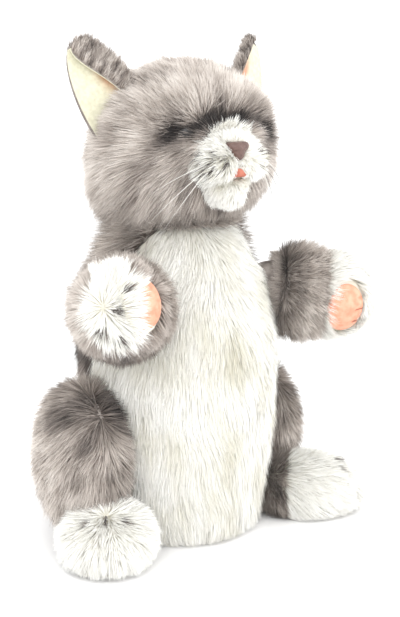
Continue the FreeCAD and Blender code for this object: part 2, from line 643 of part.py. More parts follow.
def legs():
    for side, sign in SIDES:
        turn = f"({sign} * {side}_leg_turn)"

        def round_body(out, ahead):
            """The x and y of a spot given by how far out and ahead it is before the leg is turned."""
            return {"x": f"{sign} * {out} * cos({turn}) + {ahead} * sin({turn})",
                    "y": f"{sign} * {out} * sin({turn}) - {ahead} * cos({turn})"}

        thigh_at = {**round_body("(belly_radius + thigh_stand)", "thigh_front"), "z": f"{side}_thigh_height",
                    "yaw": f"90 - {sign} * 90 + {turn}"}
        foot_at = {"x": f"{sign} * (belly_radius + {side}_foot_stand)", "y": f"-{side}_foot_front", "z": "foot_height",
                   "yaw": f"{sign} * {side}_foot_turn"}

        def thigh_ball(name, inset):
            return ellipsoid(f"{name}_{side}", f"thigh_width - {inset}", f"thigh_depth - {inset}",
                             f"thigh_rise - {inset}", **thigh_at)

        def foot_ball(name, inset):
            return ellipsoid(f"{name}_{side}", f"foot_width - {inset}", f"foot_length - {inset}",
                             f"foot_rise - {inset}", **foot_at)

        def slab(name, low, high):
            """Everything between two heights, or between two distances out from the middle."""
            block = primitive("Box", f"{name}_{side}", Length="6 * belly_radius", Width="6 * belly_radius",
                              Height=f"{high} - ({low})")
            return place(block, x="-3 * belly_radius", y="-3 * belly_radius", z=low)

        # The inner face is flat, square to the hinge, so the leg swings clear of the body.
        wall = cylinder(f"hip_side_{side}", "3 * belly_radius", "belly_radius - hip_sink", yaw=turn, pitch=f"{sign} * 90")
        away = fuse(f"thigh_away_{side}", wall, foot_ball("foot_in_thigh", "0"))
        skin = cut(f"thigh_shell_{side}", thigh_ball("thigh_outside", "0"), thigh_ball("thigh_inside", "plush_wall"))
        part(cut(f"thigh_skin_cut_{side}", skin, away), f"thigh_{side}")
        part(cut(f"thigh_fill_cut_{side}", thigh_ball("thigh_fill", "plush_wall"), away),
             f"thigh_stuffing_{side}")

        # A gathered seam joins the thigh to the flank and is where the leg swings.
        hip_height = f"({side}_thigh_height - hip_drop)"
        inner = f"({sleeve_side(f'({hip_height} + hip_radius)')} + joint_gap)"
        seam = cylinder(f"hip_disc_{side}", "hip_radius", f"belly_radius - hip_sink - {inner}",
                        **round_body(inner, "(-hip_back)"), z=hip_height,
                        yaw=turn, pitch=f"{sign} * 90")
        part(seam, f"hip_seam_{side}")

        # The foot: skin and stuffing above a flat felt sole.
        above = slab("above_sole", "sole_wall", "6 * belly_radius")
        shell = cut(f"foot_shell_{side}", foot_ball("foot_outside", "0"), foot_ball("foot_inside", "plush_wall"))
        part(common(f"foot_skin_cut_{side}", shell, above), f"foot_{side}")
        part(common(f"foot_fill_cut_{side}", foot_ball("foot_fill", "plush_wall"), above),
             f"foot_stuffing_{side}")
        shrink = "sqrt(1 - ((foot_height - sole_wall) / foot_rise)^2)"
        sole = oval_pad(f"sole_{side}", f"foot_length * {shrink}", f"foot_width * {shrink}", "sole_wall",
                        **{**foot_at, "z": "0"})
        part(sole, f"sole_pad_{side}")


# ---------------------------------------------------------------- the tail
def tail_joint():
    """The tail's joint, just outside the back of the sleeve at the height of its seam."""
    return {"y": f"{sleeve_side('tail_height')} + tail_stand", "z": "tail_height"}


def tail():
    where = {**tail_joint(), "yaw": "-tail_turn", "roll": "-(90 - tail_lift)"}
    root_in, end_in = "(tail_root - plush_wall)", "(tail_end - plush_wall)"
    skin = turned("tail_skin", [
        ("0", "-tail_root", "x", "0"),
        ("tail_root", "0"),
        ("tail_end", "tail_length", "x", "0"),
        ("0", "tail_length + tail_end"),
        ("0", f"tail_length + {end_in}", "x", "0"),
        (end_in, "tail_length"),
        (root_in, "0", "x", "0"),
        ("0", f"-{root_in}"),
    ], **where)
    part(skin, "tail")
    fill = turned("tail_fill", [
        ("0", f"-{root_in}", "x", "0"),
        (root_in, "0"),
        (end_in, "tail_length", "x", "0"),
        ("0", f"tail_length + {end_in}"),
    ], **where)
    part(fill, "tail_stuffing")


sleeve()
neck()
snout = head()
ears()
whiskers(snout)
arms()
legs()
tail()

# ---------------------------------------------------------------- check and write
doc.recompute()
for thing in doc.Objects:
    if "Invalid" in thing.State or "Error" in thing.State:
        raise RuntimeError(f"{thing.Name} ({thing.Label}) did not build: {thing.State}")
os.makedirs("parts", exist_ok=True)
for thing in parts:
    shape = thing.Shape
    if shape.isNull() or not shape.isValid() or not shape.Solids:
        raise RuntimeError(f"{thing.Label} has no sound solid")
    shape.exportStep(os.path.join("parts", thing.Label + ".step"))
    print(f"{thing.Label:26s} {shape.Volume:10.1f} mm3  {len(shape.Solids)} solid")
print(len(parts), "parts")
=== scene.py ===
import bpy
import numpy as np
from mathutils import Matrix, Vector


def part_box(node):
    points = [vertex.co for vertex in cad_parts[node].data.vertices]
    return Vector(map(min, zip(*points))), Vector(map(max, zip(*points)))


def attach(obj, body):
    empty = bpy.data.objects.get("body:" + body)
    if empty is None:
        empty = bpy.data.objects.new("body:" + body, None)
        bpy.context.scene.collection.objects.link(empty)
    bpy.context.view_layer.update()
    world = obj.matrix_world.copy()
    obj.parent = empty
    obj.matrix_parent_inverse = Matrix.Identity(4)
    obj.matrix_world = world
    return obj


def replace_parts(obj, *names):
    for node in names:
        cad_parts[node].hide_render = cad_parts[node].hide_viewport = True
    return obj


# A kitten hand puppet in long plush, sitting on its hem and its two hind feet.
# Shapes are worked out in millimetres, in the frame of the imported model: the kitten
# faces -Y, its left side is +X, and the floor is z = 0.
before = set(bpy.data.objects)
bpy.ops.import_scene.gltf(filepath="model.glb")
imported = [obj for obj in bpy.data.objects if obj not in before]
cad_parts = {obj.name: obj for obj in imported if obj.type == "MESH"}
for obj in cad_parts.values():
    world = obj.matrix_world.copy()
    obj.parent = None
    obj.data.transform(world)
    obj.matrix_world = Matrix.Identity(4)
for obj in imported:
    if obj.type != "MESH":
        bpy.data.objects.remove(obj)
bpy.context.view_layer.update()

# ------------------------------------------------------------------ back and belly panels
# The body is a sleeve for the hand, sewn from two pieces of knitted plush: a grey back
# and a white belly whose side seams run up to the throat. The pile is long and is
# brushed down, and the arms come out of round armholes.
HEM_HEIGHT, HEM_RADIUS = 7, 45
BELLY_HEIGHT, BELLY_RADIUS = 112, 56
CHEST_CENTRE, CHEST_RADIUS = 158, 40
FLANK_BOW, DOME_FOOT = 103.8, 170.4
SEAM_BACK, SEAM_LEAN = 5, 0.249
PLUSH_WALL = 3
SHOULDERS = {"left": np.array([53.44, -23.79, 145]), "right": np.array([-53.44, -23.79, 145])}
ARMHOLE = 17.8


def colour(red, green, blue):
    """A colour as a screen shows it, 0 to 255 a channel, turned into light by the screen's own curve."""
    channel = np.array([red, green, blue]) / 255
    light = np.where(channel < 0.04045, channel / 12.92, ((channel + 0.055) / 1.055) ** 2.4)
    return (*light.tolist(), 1.0)


def ramp(tree, source, stops):
    """A colour ramp from stops of (position, colour), read at source."""
    made = tree.nodes.new("ShaderNodeValToRGB")
    elements = made.color_ramp.elements
    while len(elements) < len(stops):
        elements.new(0.5)
    for element, (position, shade) in zip(elements, stops):
        element.position, element.color = position, shade
    tree.links.new(source, made.inputs["Fac"])
    return made.outputs["Color"]


def times(tree, first, second):
    """Two colours multiplied."""
    made = tree.nodes.new("ShaderNodeMix")
    made.data_type, made.blend_type = "RGBA", "MULTIPLY"
    made.inputs["Factor"].default_value = 1
    tree.links.new(first, made.inputs["A"])
    tree.links.new(second, made.inputs["B"])
    return made.outputs["Result"]


def fresh(name, roughness, sheen=0.0):
    """A new material and its shader, with the constant parts of its finish."""
    material = bpy.data.materials.new(name)
    material.use_nodes = True
    shader = material.node_tree.nodes["Principled BSDF"]
    shader.inputs["Roughness"].default_value = roughness
    shader.inputs["Sheen Weight"].default_value = sheen
    shader.inputs["Specular IOR Level"].default_value = 0.25
    return material, material.node_tree, shader


def noise_over(tree, scale, detail=2):
    """Cloudy noise that stays with the piece, scale to a metre."""
    place = tree.nodes.new("ShaderNodeTexCoord")
    made = tree.nodes.new("ShaderNodeTexNoise")
    made.inputs["Scale"].default_value, made.inputs["Detail"].default_value = scale, detail
    tree.links.new(place.outputs["Object"], made.inputs["Vector"])
    return made.outputs["Fac"]


def raised(tree, shader, source, strength, distance):
    """The shader's surface stands up with source."""
    bump = tree.nodes.new("ShaderNodeBump")
    bump.inputs["Strength"].default_value, bump.inputs["Distance"].default_value = strength, distance
    tree.links.new(source, bump.inputs["Height"])
    tree.links.new(bump.outputs["Normal"], shader.inputs["Normal"])


def pile_material(name, tones, roots):
    """Dyed pile. Its map says what each strand is: across it from the darkest to the palest, up it from
    root to tip, where the colour of the tone is multiplied by the shade at that height."""
    material, tree, shader = fresh(name, 0.8, 0.15)
    place = tree.nodes.new("ShaderNodeUVMap")
    place.uv_map = "OFBake"
    split = tree.nodes.new("ShaderNodeSeparateXYZ")
    tree.links.new(place.outputs["UV"], split.inputs["Vector"])
    dye = ramp(tree, split.outputs["X"], [(n / (len(tones) - 1), colour(*t)) for n, t in enumerate(tones)])
    height = ramp(tree, split.outputs["Y"], roots)
    tree.links.new(times(tree, dye, height), shader.inputs["Base Color"])
    return material


def backing_material(name, low, high, size=120, depth=0.4):
    """Knitted backing: cloudy noise between two colours, with a fine knit standing up from it."""
    material, tree, shader = fresh(name, 0.92)
    cloud = ramp(tree, noise_over(tree, size, 4), [(0.35, colour(*low)), (0.65, colour(*high))])
    tree.links.new(cloud, shader.inputs["Base Color"])
    raised(tree, shader, noise_over(tree, size * 12), depth, 0.0006)
    return material


WHITE_PILE = pile_material(
    "white_pile", [(158, 151, 130), (214, 209, 190), (238, 236, 226), (250, 249, 245), (254, 254, 252)],
    [(0, colour(226, 223, 212)), (0.45, colour(245, 244, 240)), (1, colour(255, 255, 255))])
GREY_PILE = pile_material(
    "grey_pile", [(50, 47, 47), (112, 105, 101), (172, 163, 156), (216, 208, 201), (242, 237, 231)],
    [(0, colour(172, 165, 160)), (0.45, colour(226, 222, 219)), (1, colour(255, 255, 255))])
GREY_BACKING = backing_material("grey_backing", (122, 114, 109), (168, 160, 154))
WHITE_BACKING = backing_material("white_backing", (214, 210, 194), (236, 233, 222))


def unit(vectors):
    """Vectors at length one."""
    return vectors / np.maximum(np.linalg.norm(vectors, axis=-1, keepdims=True), 1e-9)


def bump_at(distance, width):
    """A bell of height 1 at distance 0, falling as the exponential of minus the square of distance over width."""
    return np.exp(-((distance / width) ** 2))


def mottle(points, size, seed):
    """Smooth patches between -1 and 1, about size apart: the mean of eight cosine waves, each in its own
    direction with its own length and start."""
    chance = np.random.default_rng(seed)
    ways = unit(chance.normal(size=(8, 3))) * (2 * np.pi / (size * chance.uniform(0.7, 1.6, (8, 1))))
    return np.clip(np.cos(points @ ways.T + chance.uniform(0, 2 * np.pi, 8)).mean(1) * 2, -1, 1)


def piece(name, vertices, faces, material):
    """A mesh object from points in millimetres, smooth, with one material."""
    mesh = bpy.data.meshes.new(name)
    mesh.from_pydata((vertices / 1000).tolist(), [], faces)
    mesh.polygons.foreach_set("use_smooth", np.ones(len(mesh.polygons), bool))
    mesh.materials.append(material)
    made = bpy.data.objects.new(name, mesh)
    bpy.context.scene.collection.objects.link(made)
    return made


def cloth(name, grid, material, round_about=True, low_pole=False, high_pole=False, wall=0.0):
    """A grid of points, rows up and columns round, as one surface that faces outwards. A pole closes its
    first or last row to the middle of that row, and a wall gives it thickness inwards."""
    rows, columns = grid.shape[:2]
    spot = np.arange(rows * columns).reshape(rows, columns)
    right = np.roll(spot, -1, 1) if round_about else spot[:, 1:]
    left = spot if round_about else spot[:, :-1]
    faces = np.stack([left[:-1], right[:-1], right[1:], left[1:]], -1).reshape(-1, 4).tolist()
    points = [grid.reshape(-1, 3)]
    for closed, row, order in ((low_pole, 0, (1, 0)), (high_pole, -1, (0, 1))):
        if closed:
            pole = rows * columns + len(points) - 1
            points.append(grid[row].mean(0)[None])
            edge = np.stack([left[row], right[row]], -1)[:, list(order)]
            faces += [[a, b, pole] for a, b in edge.tolist()]
    made = piece(name, np.concatenate(points), faces, material)
    if wall:
        thick = made.modifiers.new("wall", "SOLIDIFY")
        thick.thickness, thick.offset = wall / 1000, -1
    return made


def sow(grid, density, seed, round_about=True):
    """Roots spread by area over a grid, density to a square millimetre, and the way out at each."""
    chance = np.random.default_rng(seed)
    if round_about:
        grid = np.concatenate([grid, grid[:, :1]], 1)
    a, b, c, d = (g.reshape(-1, 3) for g in (grid[:-1, :-1], grid[:-1, 1:], grid[1:, 1:], grid[1:, :-1]))
    out = np.cross(c - a, d - b)
    share = np.cumsum(np.linalg.norm(out, axis=1) / 2)
    pick = np.searchsorted(share, chance.random(int(share[-1] * density)) * share[-1])
    u, v = chance.random((2, len(pick), 1))
    roots = (1 - v) * ((1 - u) * a[pick] + u * b[pick]) + v * ((1 - u) * d[pick] + u * c[pick])
    return roots, unit(out[pick])


def along_skin(wish, out):
    """The part of a direction that lies along the skin, made one long."""
    return unit(wish - (wish * out).sum(1, keepdims=True) * out)


def pile(name, roots, out, comb, length, tone, material, seed, lay=1.5, width=0.42, tuft=4.5, gather=0.55,
         wild=0.22, sweep=0.4):
    """Plush pile, one flat tapering strand of two lengths to each root. A strand starts between the way
    out and lay times the comb, with a little of its own, and bends on along the comb with the square of
    its height. Strands of one tuft share some of their length, tone and lean, and close towards the
    tuft's middle as they rise. None goes under the floor."""
    chance = np.random.default_rng(seed)
    count = len(roots)
    cells = np.floor((roots + chance.normal(0, tuft * 0.2, (count, 3))) / tuft).astype(int)
    _, member = np.unique(cells, axis=0, return_inverse=True)
    member = member.ravel()
    size = np.bincount(member)
    middle = np.stack([np.bincount(member, roots[:, k]) / size for k in range(3)], 1)[member]
    lean = chance.normal(0, 0.16, (len(size), 3))[member]
    long = (length * chance.uniform(0.72, 1.1, count) * (1 + chance.normal(0, 0.08, len(size)))[member])[:, None]
    shade = np.clip(tone + chance.normal(0, 0.07, count) + chance.normal(0, 0.05, len(size))[member], 0.01, 0.97)
    start = unit(out + lay * comb + lean + chance.normal(0, wild, (count, 3)))
    line = [roots + long * (t * start + sweep * t * t * comb) + (middle - roots) * gather * t ** 1.3
            for t in (0.0, 0.5, 1.0)]
    for spots in line[1:]:
        spots[:, 2] = np.maximum(spots[:, 2], 0.4)
    way = unit(line[2] - line[0])
    side = unit(np.cross(way, out))
    twist = chance.uniform(-1.0, 1.0, (count, 1))
    side = side * np.cos(twist) + np.cross(way, side) * np.sin(twist)
    half = side * width / 2
    points = np.stack([line[0] - half, line[0] + half, line[1] - half * 0.9, line[1] + half * 0.9, line[2]], 1)
    first = 5 * np.arange(count)[:, None]
    corners = (first + np.array([0, 1, 3, 2, 2, 3, 4])).ravel()
    mesh = bpy.data.meshes.new(name)
    mesh.vertices.add(5 * count)
    mesh.vertices.foreach_set("co", (points / 1000).astype(np.float32).ravel())
    mesh.loops.add(7 * count)
    mesh.loops.foreach_set("vertex_index", corners.astype(np.int32))
    mesh.polygons.add(2 * count)
    starts = 7 * np.arange(count)[:, None] + np.array([0, 4])
    mesh.polygons.foreach_set("loop_start", starts.ravel().astype(np.int32))
    mesh.polygons.foreach_set("use_smooth", np.ones(2 * count, bool))
    mesh.update(calc_edges=True)
    across = np.array([-1, 1, 1, -1, -1, 1, 0]) / 128
    up = np.array([0, 0, 0.5, 0.5, 0.5, 0.5, 1])
    places = np.stack([shade[:, None] + across, np.tile(up, (count, 1))], -1)
    mesh.uv_layers.new(name="OFBake").data.foreach_set("uv", places.astype(np.float32).ravel())
    mesh.materials.append(material)
    made = bpy.data.objects.new(name, mesh)
    bpy.context.scene.collection.objects.link(made)
    return made


def side_radius(height, inset=0):
    """The sleeve's radius: a wide arc from the hem out to the belly, a closer one in from there to the
    shoulders, then the dome of the chest."""
    bow = ((BELLY_RADIUS - HEM_RADIUS) ** 2 + (BELLY_HEIGHT - HEM_HEIGHT) ** 2) / (2 * (BELLY_RADIUS - HEM_RADIUS))
    low = BELLY_RADIUS - bow + np.sqrt(bow ** 2 - (BELLY_HEIGHT - np.minimum(height, BELLY_HEIGHT)) ** 2)
    mid = BELLY_RADIUS - FLANK_BOW + np.sqrt(FLANK_BOW ** 2 - np.clip(height - BELLY_HEIGHT, 0, 70) ** 2)
    top = np.sqrt(np.maximum(CHEST_RADIUS ** 2 - (height - CHEST_CENTRE) ** 2, 1))
    return np.where(height < BELLY_HEIGHT, low, np.where(height < DOME_FOOT, mid, top)) - inset


def sleeve_heights(top=36.2):
    """Heights up the sleeve, closer together where the dome turns in."""
    dome = CHEST_CENTRE + CHEST_RADIUS * np.sin(np.linspace(np.arcsin(0.32), np.arcsin(top / CHEST_RADIUS), 16))
    return np.concatenate([np.linspace(HEM_HEIGHT, 168, 44), dome])


def sleeve_panel(front, inset=0):
    """The grid of one panel: at each height an arc from side seam to side seam about the sleeve's middle,
    where a seam lies SEAM_BACK behind it and leans forwards above the belly. Points inside an armhole move
    out to its edge."""
    height = sleeve_heights()[:, None]
    radius = side_radius(height, inset)
    seam = SEAM_BACK - np.maximum(height - BELLY_HEIGHT, 0) * SEAM_LEAN
    half = np.arccos(np.clip(-seam / radius, -1, 1))
    share = np.linspace(0, 1, 90)[None]
    turn = -half + 2 * half * share if front else half + (2 * np.pi - 2 * half) * share
    grid = np.stack([radius * np.sin(turn), -radius * np.cos(turn), height + 0 * turn], -1)
    for centre in SHOULDERS.values():
        away = grid - centre
        near = np.linalg.norm(away, axis=-1, keepdims=True)
        grid = np.where(near < ARMHOLE, centre + away / np.maximum(near, 1e-6) * ARMHOLE, grid)
    return grid


def clear_of_arms(roots, gap=0.6):
    """Which roots lie outside both armholes."""
    return np.all([np.linalg.norm(roots - c, axis=1) > ARMHOLE + gap for c in SHOULDERS.values()], axis=0)


def coat(body, name, strands, dye, seed, only=slice(None), **more):
    """A pile on its body, in the slot of its dye. strands are roots, ways out, comb, length and tone, and
    only says which of them to take."""
    fur = pile(name, *(values[only] for values in strands), dye, seed, **more)
    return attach(fur, body)


def down_the_body(roots, out, spread):
    """The brushing of the body: down, and by spread away from the middle line of the front."""
    sideways = np.stack([np.sign(roots[:, 0]) * np.minimum(np.abs(roots[:, 0]) / 20, 1), 0 * spread, 0 * spread], 1)
    return along_skin(np.array([0, 0, -1.0]) + sideways * spread[:, None], out)


belly_grid = sleeve_panel(True)
belly_skin = cloth("belly_panel_cloth", belly_grid, WHITE_BACKING, round_about=False, wall=PLUSH_WALL)
roots, out = sow(belly_grid, 3.05, 1, round_about=False)
kept = clear_of_arms(roots)
roots, out = roots[kept], out[kept]
height = roots[:, 2]
comb = down_the_body(roots, out, 0.5 * bump_at(height - 165, 35) - 0.15 * bump_at(height - 60, 50))
comb = along_skin(comb + 0.28 * np.stack([mottle(roots, 30, 2), 0 * height, 0.4 * mottle(roots, 24, 3)], 1), out)
length = np.interp(height, [7, 22, 40, 100, 130, 175, 194], [17, 15, 13, 11, 10.5, 11, 8])
tone = 0.74 + 0.16 * mottle(roots * [1, 1, 0.35], 14, 4) + 0.06 * np.clip((height - 150) / 20, 0, 1)
# Painted shadow: the white pile is darker down the lower middle of the belly.
tone -= 0.16 * bump_at(roots[:, 0] + 4, 9) * bump_at(height - 62, 40)
# Painted shade: the white pile is darker in the middle of the front, about 120 mm up.
tone -= 0.16 * bump_at(roots[:, 0], 22) * bump_at(height - 120, 22)
for side, sign in (("left", 1), ("right", -1)):
    mine = roots[:, 0] * sign >= 0
    part = coat("sleeve", f"belly_pile_{side}", (roots, out, comb, length, tone), WHITE_PILE, 5 + sign, only=mine,
                lay=2.0, width=0.4, tuft=9, gather=0.16, wild=0.2)
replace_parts(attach(belly_skin, "sleeve"), "belly_panel")

back_grid = sleeve_panel(False)
back_skin = cloth("back_panel_cloth", back_grid, GREY_BACKING, round_about=False, wall=PLUSH_WALL)
roots, out = sow(back_grid, 2.4, 11, round_about=False)
kept = clear_of_arms(roots)
roots, out = roots[kept], out[kept]
height = roots[:, 2]
comb = along_skin(np.array([0, 0.15, -1.0]) + 0.4 * np.stack(
    [mottle(roots, 40, 12), mottle(roots, 40, 13), 0 * height], 1), out)
length = np.interp(height, [7, 40, 100, 140, 160, 180, 194], [12, 10, 10, 11, 16, 20, 20])
upright = np.interp(height, [135, 170, 194], [1.3, 0.6, 0.35])
tone = 0.64 + 0.22 * mottle(roots * [1, 1, 0.5], 16, 14)
# Painted shade under the arms: the grey pile is darker on the sides about 118 mm up, below the shoulders.
tone -= 0.40 * bump_at(height - 118, 14) * bump_at(np.abs(roots[:, 0]) - 50, 16)
for side, sign in (("left", 1), ("right", -1)):
    mine = roots[:, 0] * sign >= 0
    part = coat("sleeve", f"back_pile_{side}", (roots, out, comb * upright[:, None], length, tone), GREY_PILE,
                15 + sign, only=mine, lay=1, tuft=5.5, gather=0.45)
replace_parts(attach(back_skin, "sleeve"), "back_panel")

# ------------------------------------------------------------------ lining, binding and label
# A smooth woven lining runs up inside the plush. A folded tape binds the raw edges at the
# hem, stitched near its top, and holds a blank white care label that hangs inside.
LINING_WALL = 1


def woven_material(name, low, high, threads):
    """Plain weave: two fine sets of stripes, upright and level, give the threads and their colour."""
    material, tree, shader = fresh(name, 0.6, 0.1)
    place = tree.nodes.new("ShaderNodeTexCoord")
    heights = []
    for axis in ("X", "Z"):
        stripes = tree.nodes.new("ShaderNodeTexWave")
        stripes.bands_direction = axis
        stripes.inputs["Scale"].default_value = threads
        stripes.inputs["Distortion"].default_value = 0.6
        tree.links.new(place.outputs["Object"], stripes.inputs["Vector"])
        heights.append(stripes.outputs["Fac"])
    both = tree.nodes.new("ShaderNodeMath")
    both.operation = "ADD"
    tree.links.new(heights[0], both.inputs[0])
    tree.links.new(heights[1], both.inputs[1])
    tree.links.new(ramp(tree, both.outputs[0], [(0.2, colour(*low)), (1, colour(*high))]),
                   shader.inputs["Base Color"])
    raised(tree, shader, both.outputs[0], 0.5, 0.0002)
    return material


LINING = woven_material("lining_satin", (196, 194, 190), (232, 231, 228), 900)
TAPE = woven_material("binding_grosgrain", (202, 198, 188), (236, 234, 228), 500)
LABEL = woven_material("label_satin", (228, 228, 228), (248, 248, 248), 1400)

height = np.linspace(2, 188, 60)[:, None]
turn = np.linspace(0, 2 * np.pi, 96, endpoint=False)[None]
radius = side_radius(height, PLUSH_WALL + 0.15)
lining_grid = np.stack([radius * np.sin(turn), -radius * np.cos(turn), height + 0 * turn], -1)
lining = cloth("sleeve_lining_cloth", lining_grid, LINING, wall=LINING_WALL)
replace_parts(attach(lining, "sleeve"), "sleeve_lining")


def ring_of(profile, turns, centre=0.0):
    """A closed line of (radius, height) carried round the upright: rows go round the line, columns round
    the ring, so the face is outwards when the line runs up its outer side and down its inner one."""
    turn = np.linspace(0, 2 * np.pi, turns, endpoint=False)[None]
    radius, height = profile[:, :1], profile[:, 1:]
    return np.stack([radius * np.sin(turn), -radius * np.cos(turn), centre + height + 0 * turn], -1)


def closed_ring(name, grid, material):
    """A grid whose rows close on themselves as well as its columns."""
    rows, columns = grid.shape[:2]
    spot = np.arange(rows * columns).reshape(rows, columns)
    right, up = np.roll(spot, -1, 1), np.roll(spot, -1, 0)
    both = np.roll(right, -1, 0)
    return piece(name, grid.reshape(-1, 3), np.stack([spot, right, both, up], -1).reshape(-1, 4).tolist(), material)


# The tape's section is a rounded oblong, pinched along its stitch line.
way = np.linspace(-np.pi, np.pi, 28, endpoint=False)
oblong = np.stack([np.sign(np.cos(way)) * np.abs(np.cos(way)) ** 0.35,
                   np.sign(np.sin(way)) * np.abs(np.sin(way)) ** 0.6], 1)
section = np.array([43.0, 3.55]) + oblong * [1.95, 3.5]
section[:, 0] -= 0.35 * bump_at(section[:, 1] - 5.2, 0.5) * np.sign(oblong[:, 0])
binding = closed_ring("hem_tape", ring_of(section, 220), TAPE)
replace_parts(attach(binding, "sleeve"), "hem_binding")

# The label is a strip that hangs with a slight curl.
across, up = np.linspace(-11, 11, 20)[None], np.linspace(7, 31, 20)[:, None]
label_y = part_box("care_label")[0].y * 1000 + 0.35 - 0.8 * bump_at(up - 31, 9)
label_grid = np.stack([across + 0 * up, label_y + 0.4 * np.cos(across / 9) + 0 * up, up + 0 * across], -1)
label = cloth("care_label_strip", label_grid, LABEL, round_about=False, wall=0.3)
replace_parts(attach(label, "sleeve"), "care_label")

# ------------------------------------------------------------------ neck ring
# A gathered ring of the grey plush rides on the chest and carries the head. Its outer rim
# is furred, so that the head's fur runs on into the chest's without a gap.
NECK_IN, NECK_OUT, NECK_SPREAD = 40.9, 43.3, np.radians(43.5)


def neck_line(radius, start, end, count=24):
    spread = np.linspace(start, end, count)
    return np.stack([radius * np.sin(spread), radius * np.cos(spread)], 1)


NECK_HOLE, NECK_MIDDLE = 17.2, 42
inside_edge = np.arcsin(NECK_HOLE / NECK_MIDDLE)
neck_profile = np.concatenate([neck_line(NECK_IN, inside_edge, NECK_SPREAD),
                               neck_line(NECK_OUT, NECK_SPREAD, inside_edge)])
neck_grid = ring_of(neck_profile, 144, CHEST_CENTRE)
turn = np.linspace(0, 2 * np.pi, 144, endpoint=False)
gathers = 0.25 * np.sin(36 * turn)[None, :, None] * np.array([0, 0, 1.0])
neck_grid[len(neck_profile) // 2:] += gathers
neck_ring = closed_ring("neck_ring", neck_grid, GREY_BACKING)
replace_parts(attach(neck_ring, "neck"), "neck_gusset")
rim = ring_of(neck_line(NECK_OUT, NECK_SPREAD + 0.02, NECK_SPREAD - 0.16, 6), 96, CHEST_CENTRE)
roots, out = sow(rim, 3.5, 21)
comb = along_skin(roots * [1, 1, 0] / 24 + [0, 0, -0.9], out)
behind = np.clip((roots[:, 1] + 14) / 16, 0, 1)
coat("neck", "neck_pile", (roots, out, comb, 8 + 10 * behind, 0.74 + 0.12 * mottle(roots, 12, 22)), GREY_PILE, 23,
     lay=0.55)

# ------------------------------------------------------------------ head
# The head is a firmly stuffed ball of the grey plush with the longest pile, hollowed below
# where it sits on the neck. The brow bulges over the eyes, the cheeks are full, and the
# pile is brushed back from the face.
HEAD = np.array([0, -5, 236.0])
HEAD_HALF = np.array([52, 46, 45.0])
SOCKET = 44.3
BROW = np.array([[-33, -41, 244], [-24, -46, 247], [-13, -49, 250], [0, -50, 251.5], [13, -49, 250], [24, -46, 247],
                 [33, -41, 244.0]])
EYES = np.array([[-29.5, -44, 246], [29.5, -44, 246.0]])
FACE = np.array([0, -52, 238.0])


def directions(rows, columns, low=-89.0, high=89.0):
    """Unit vectors over a ball: rows from low to high latitude, columns round from the front to the left."""
    rise = np.radians(np.linspace(low, high, rows))[:, None]
    turn = np.linspace(0, 2 * np.pi, columns, endpoint=False)[None]
    return np.stack([np.cos(rise) * np.sin(turn), -np.cos(rise) * np.cos(turn), np.sin(rise) + 0 * turn], -1)


def bell(way, turn, rise, width):
    """A bell on a ball about the direction at turn round from the front and rise up from level, in degrees."""
    turn, rise = np.radians(turn), np.radians(rise)
    centre = np.array([np.cos(rise) * np.sin(turn), -np.cos(rise) * np.cos(turn), np.sin(rise)])
    return bump_at(np.degrees(np.arccos(np.clip(way @ centre, -1, 1))), width)


def line_distance(points, line):
    """How far points are from a line of straight runs."""
    best = np.full(len(points), 1e9)
    for start, end in zip(line[:-1], line[1:]):
        run = end - start
        share = np.clip((points - start) @ run / (run @ run), 0, 1)[:, None]
        best = np.minimum(best, np.linalg.norm(points - start - share * run, axis=1))
    return best


way = directions(90, 130)
swell = (4.2 * (bell(way, 24, 30, 14) + bell(way, -24, 30, 14))
         + 8.5 * (bell(way, 118, -42, 27) + bell(way, -118, -42, 27))
         + 2.0 * (bell(way, 70, -24, 20) + bell(way, -70, -24, 20))
         - 2.4 * (bell(way, 33, 12, 9) + bell(way, -33, 12, 9)) - 1.5 * bell(way, 0, 58, 12))
head_grid = HEAD + way * HEAD_HALF + way * swell[..., None]
from_neck = head_grid - [0, 0, CHEST_CENTRE]
reach = np.linalg.norm(from_neck, axis=-1, keepdims=True)
head_grid = np.where(reach < SOCKET, from_neck / reach * SOCKET + [0, 0, CHEST_CENTRE], head_grid)
head_skin = cloth("head_cloth", head_grid, GREY_BACKING, low_pole=True, high_pole=True)
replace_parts(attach(head_skin, "head"), "head_skin")

roots, out = sow(head_grid, 3.35, 31)
kept = np.linalg.norm(roots - [0, 0, CHEST_CENTRE], axis=1) > SOCKET + 0.4
snout_space = ((roots - [0, -46, 228]) / [19, 22, 19])
kept &= (snout_space ** 2).sum(1) > 1
kept &= np.min([np.linalg.norm(roots - eye, axis=1) for eye in EYES], axis=0) > 3.6
roots, out = roots[kept], out[kept]
x, y, z = roots.T
brow = bump_at(line_distance(roots, BROW + [0, 6, 10]), 9)
band = bump_at(line_distance(roots, BROW), 4.8)
sockets = bump_at(np.min([np.linalg.norm(roots - eye, axis=1) for eye in EYES], axis=0), 8)
away = unit(roots - FACE)
cheek = np.clip((250 - z) / 30, 0, 1)
comb = along_skin(away + np.stack([0 * x, 0.25 + 0 * x, -0.75 * cheek], 1)
                  + 0.25 * np.stack([mottle(roots, 30, 32), mottle(roots, 30, 33), mottle(roots, 30, 34)], 1), out)
length = (10.5 + 1.5 * brow + 3.5 * bump_at(np.abs(x) - 36, 16) * cheek * (y > -30)
          - 1.5 * np.clip((z - 262) / 20, 0, 1))
length *= 1 - 0.5 * np.maximum(band, sockets)
tone = 0.74 + 0.20 * mottle(roots * [1, 1, 0.7], 15, 35) + 0.12 * mottle(roots, 5, 36)
# Partly the fur's own dark marking and partly painted shade: darker along the brow line and round the eyes, which sit
# under the brow.
tone -= 0.70 * band + 0.55 * sockets
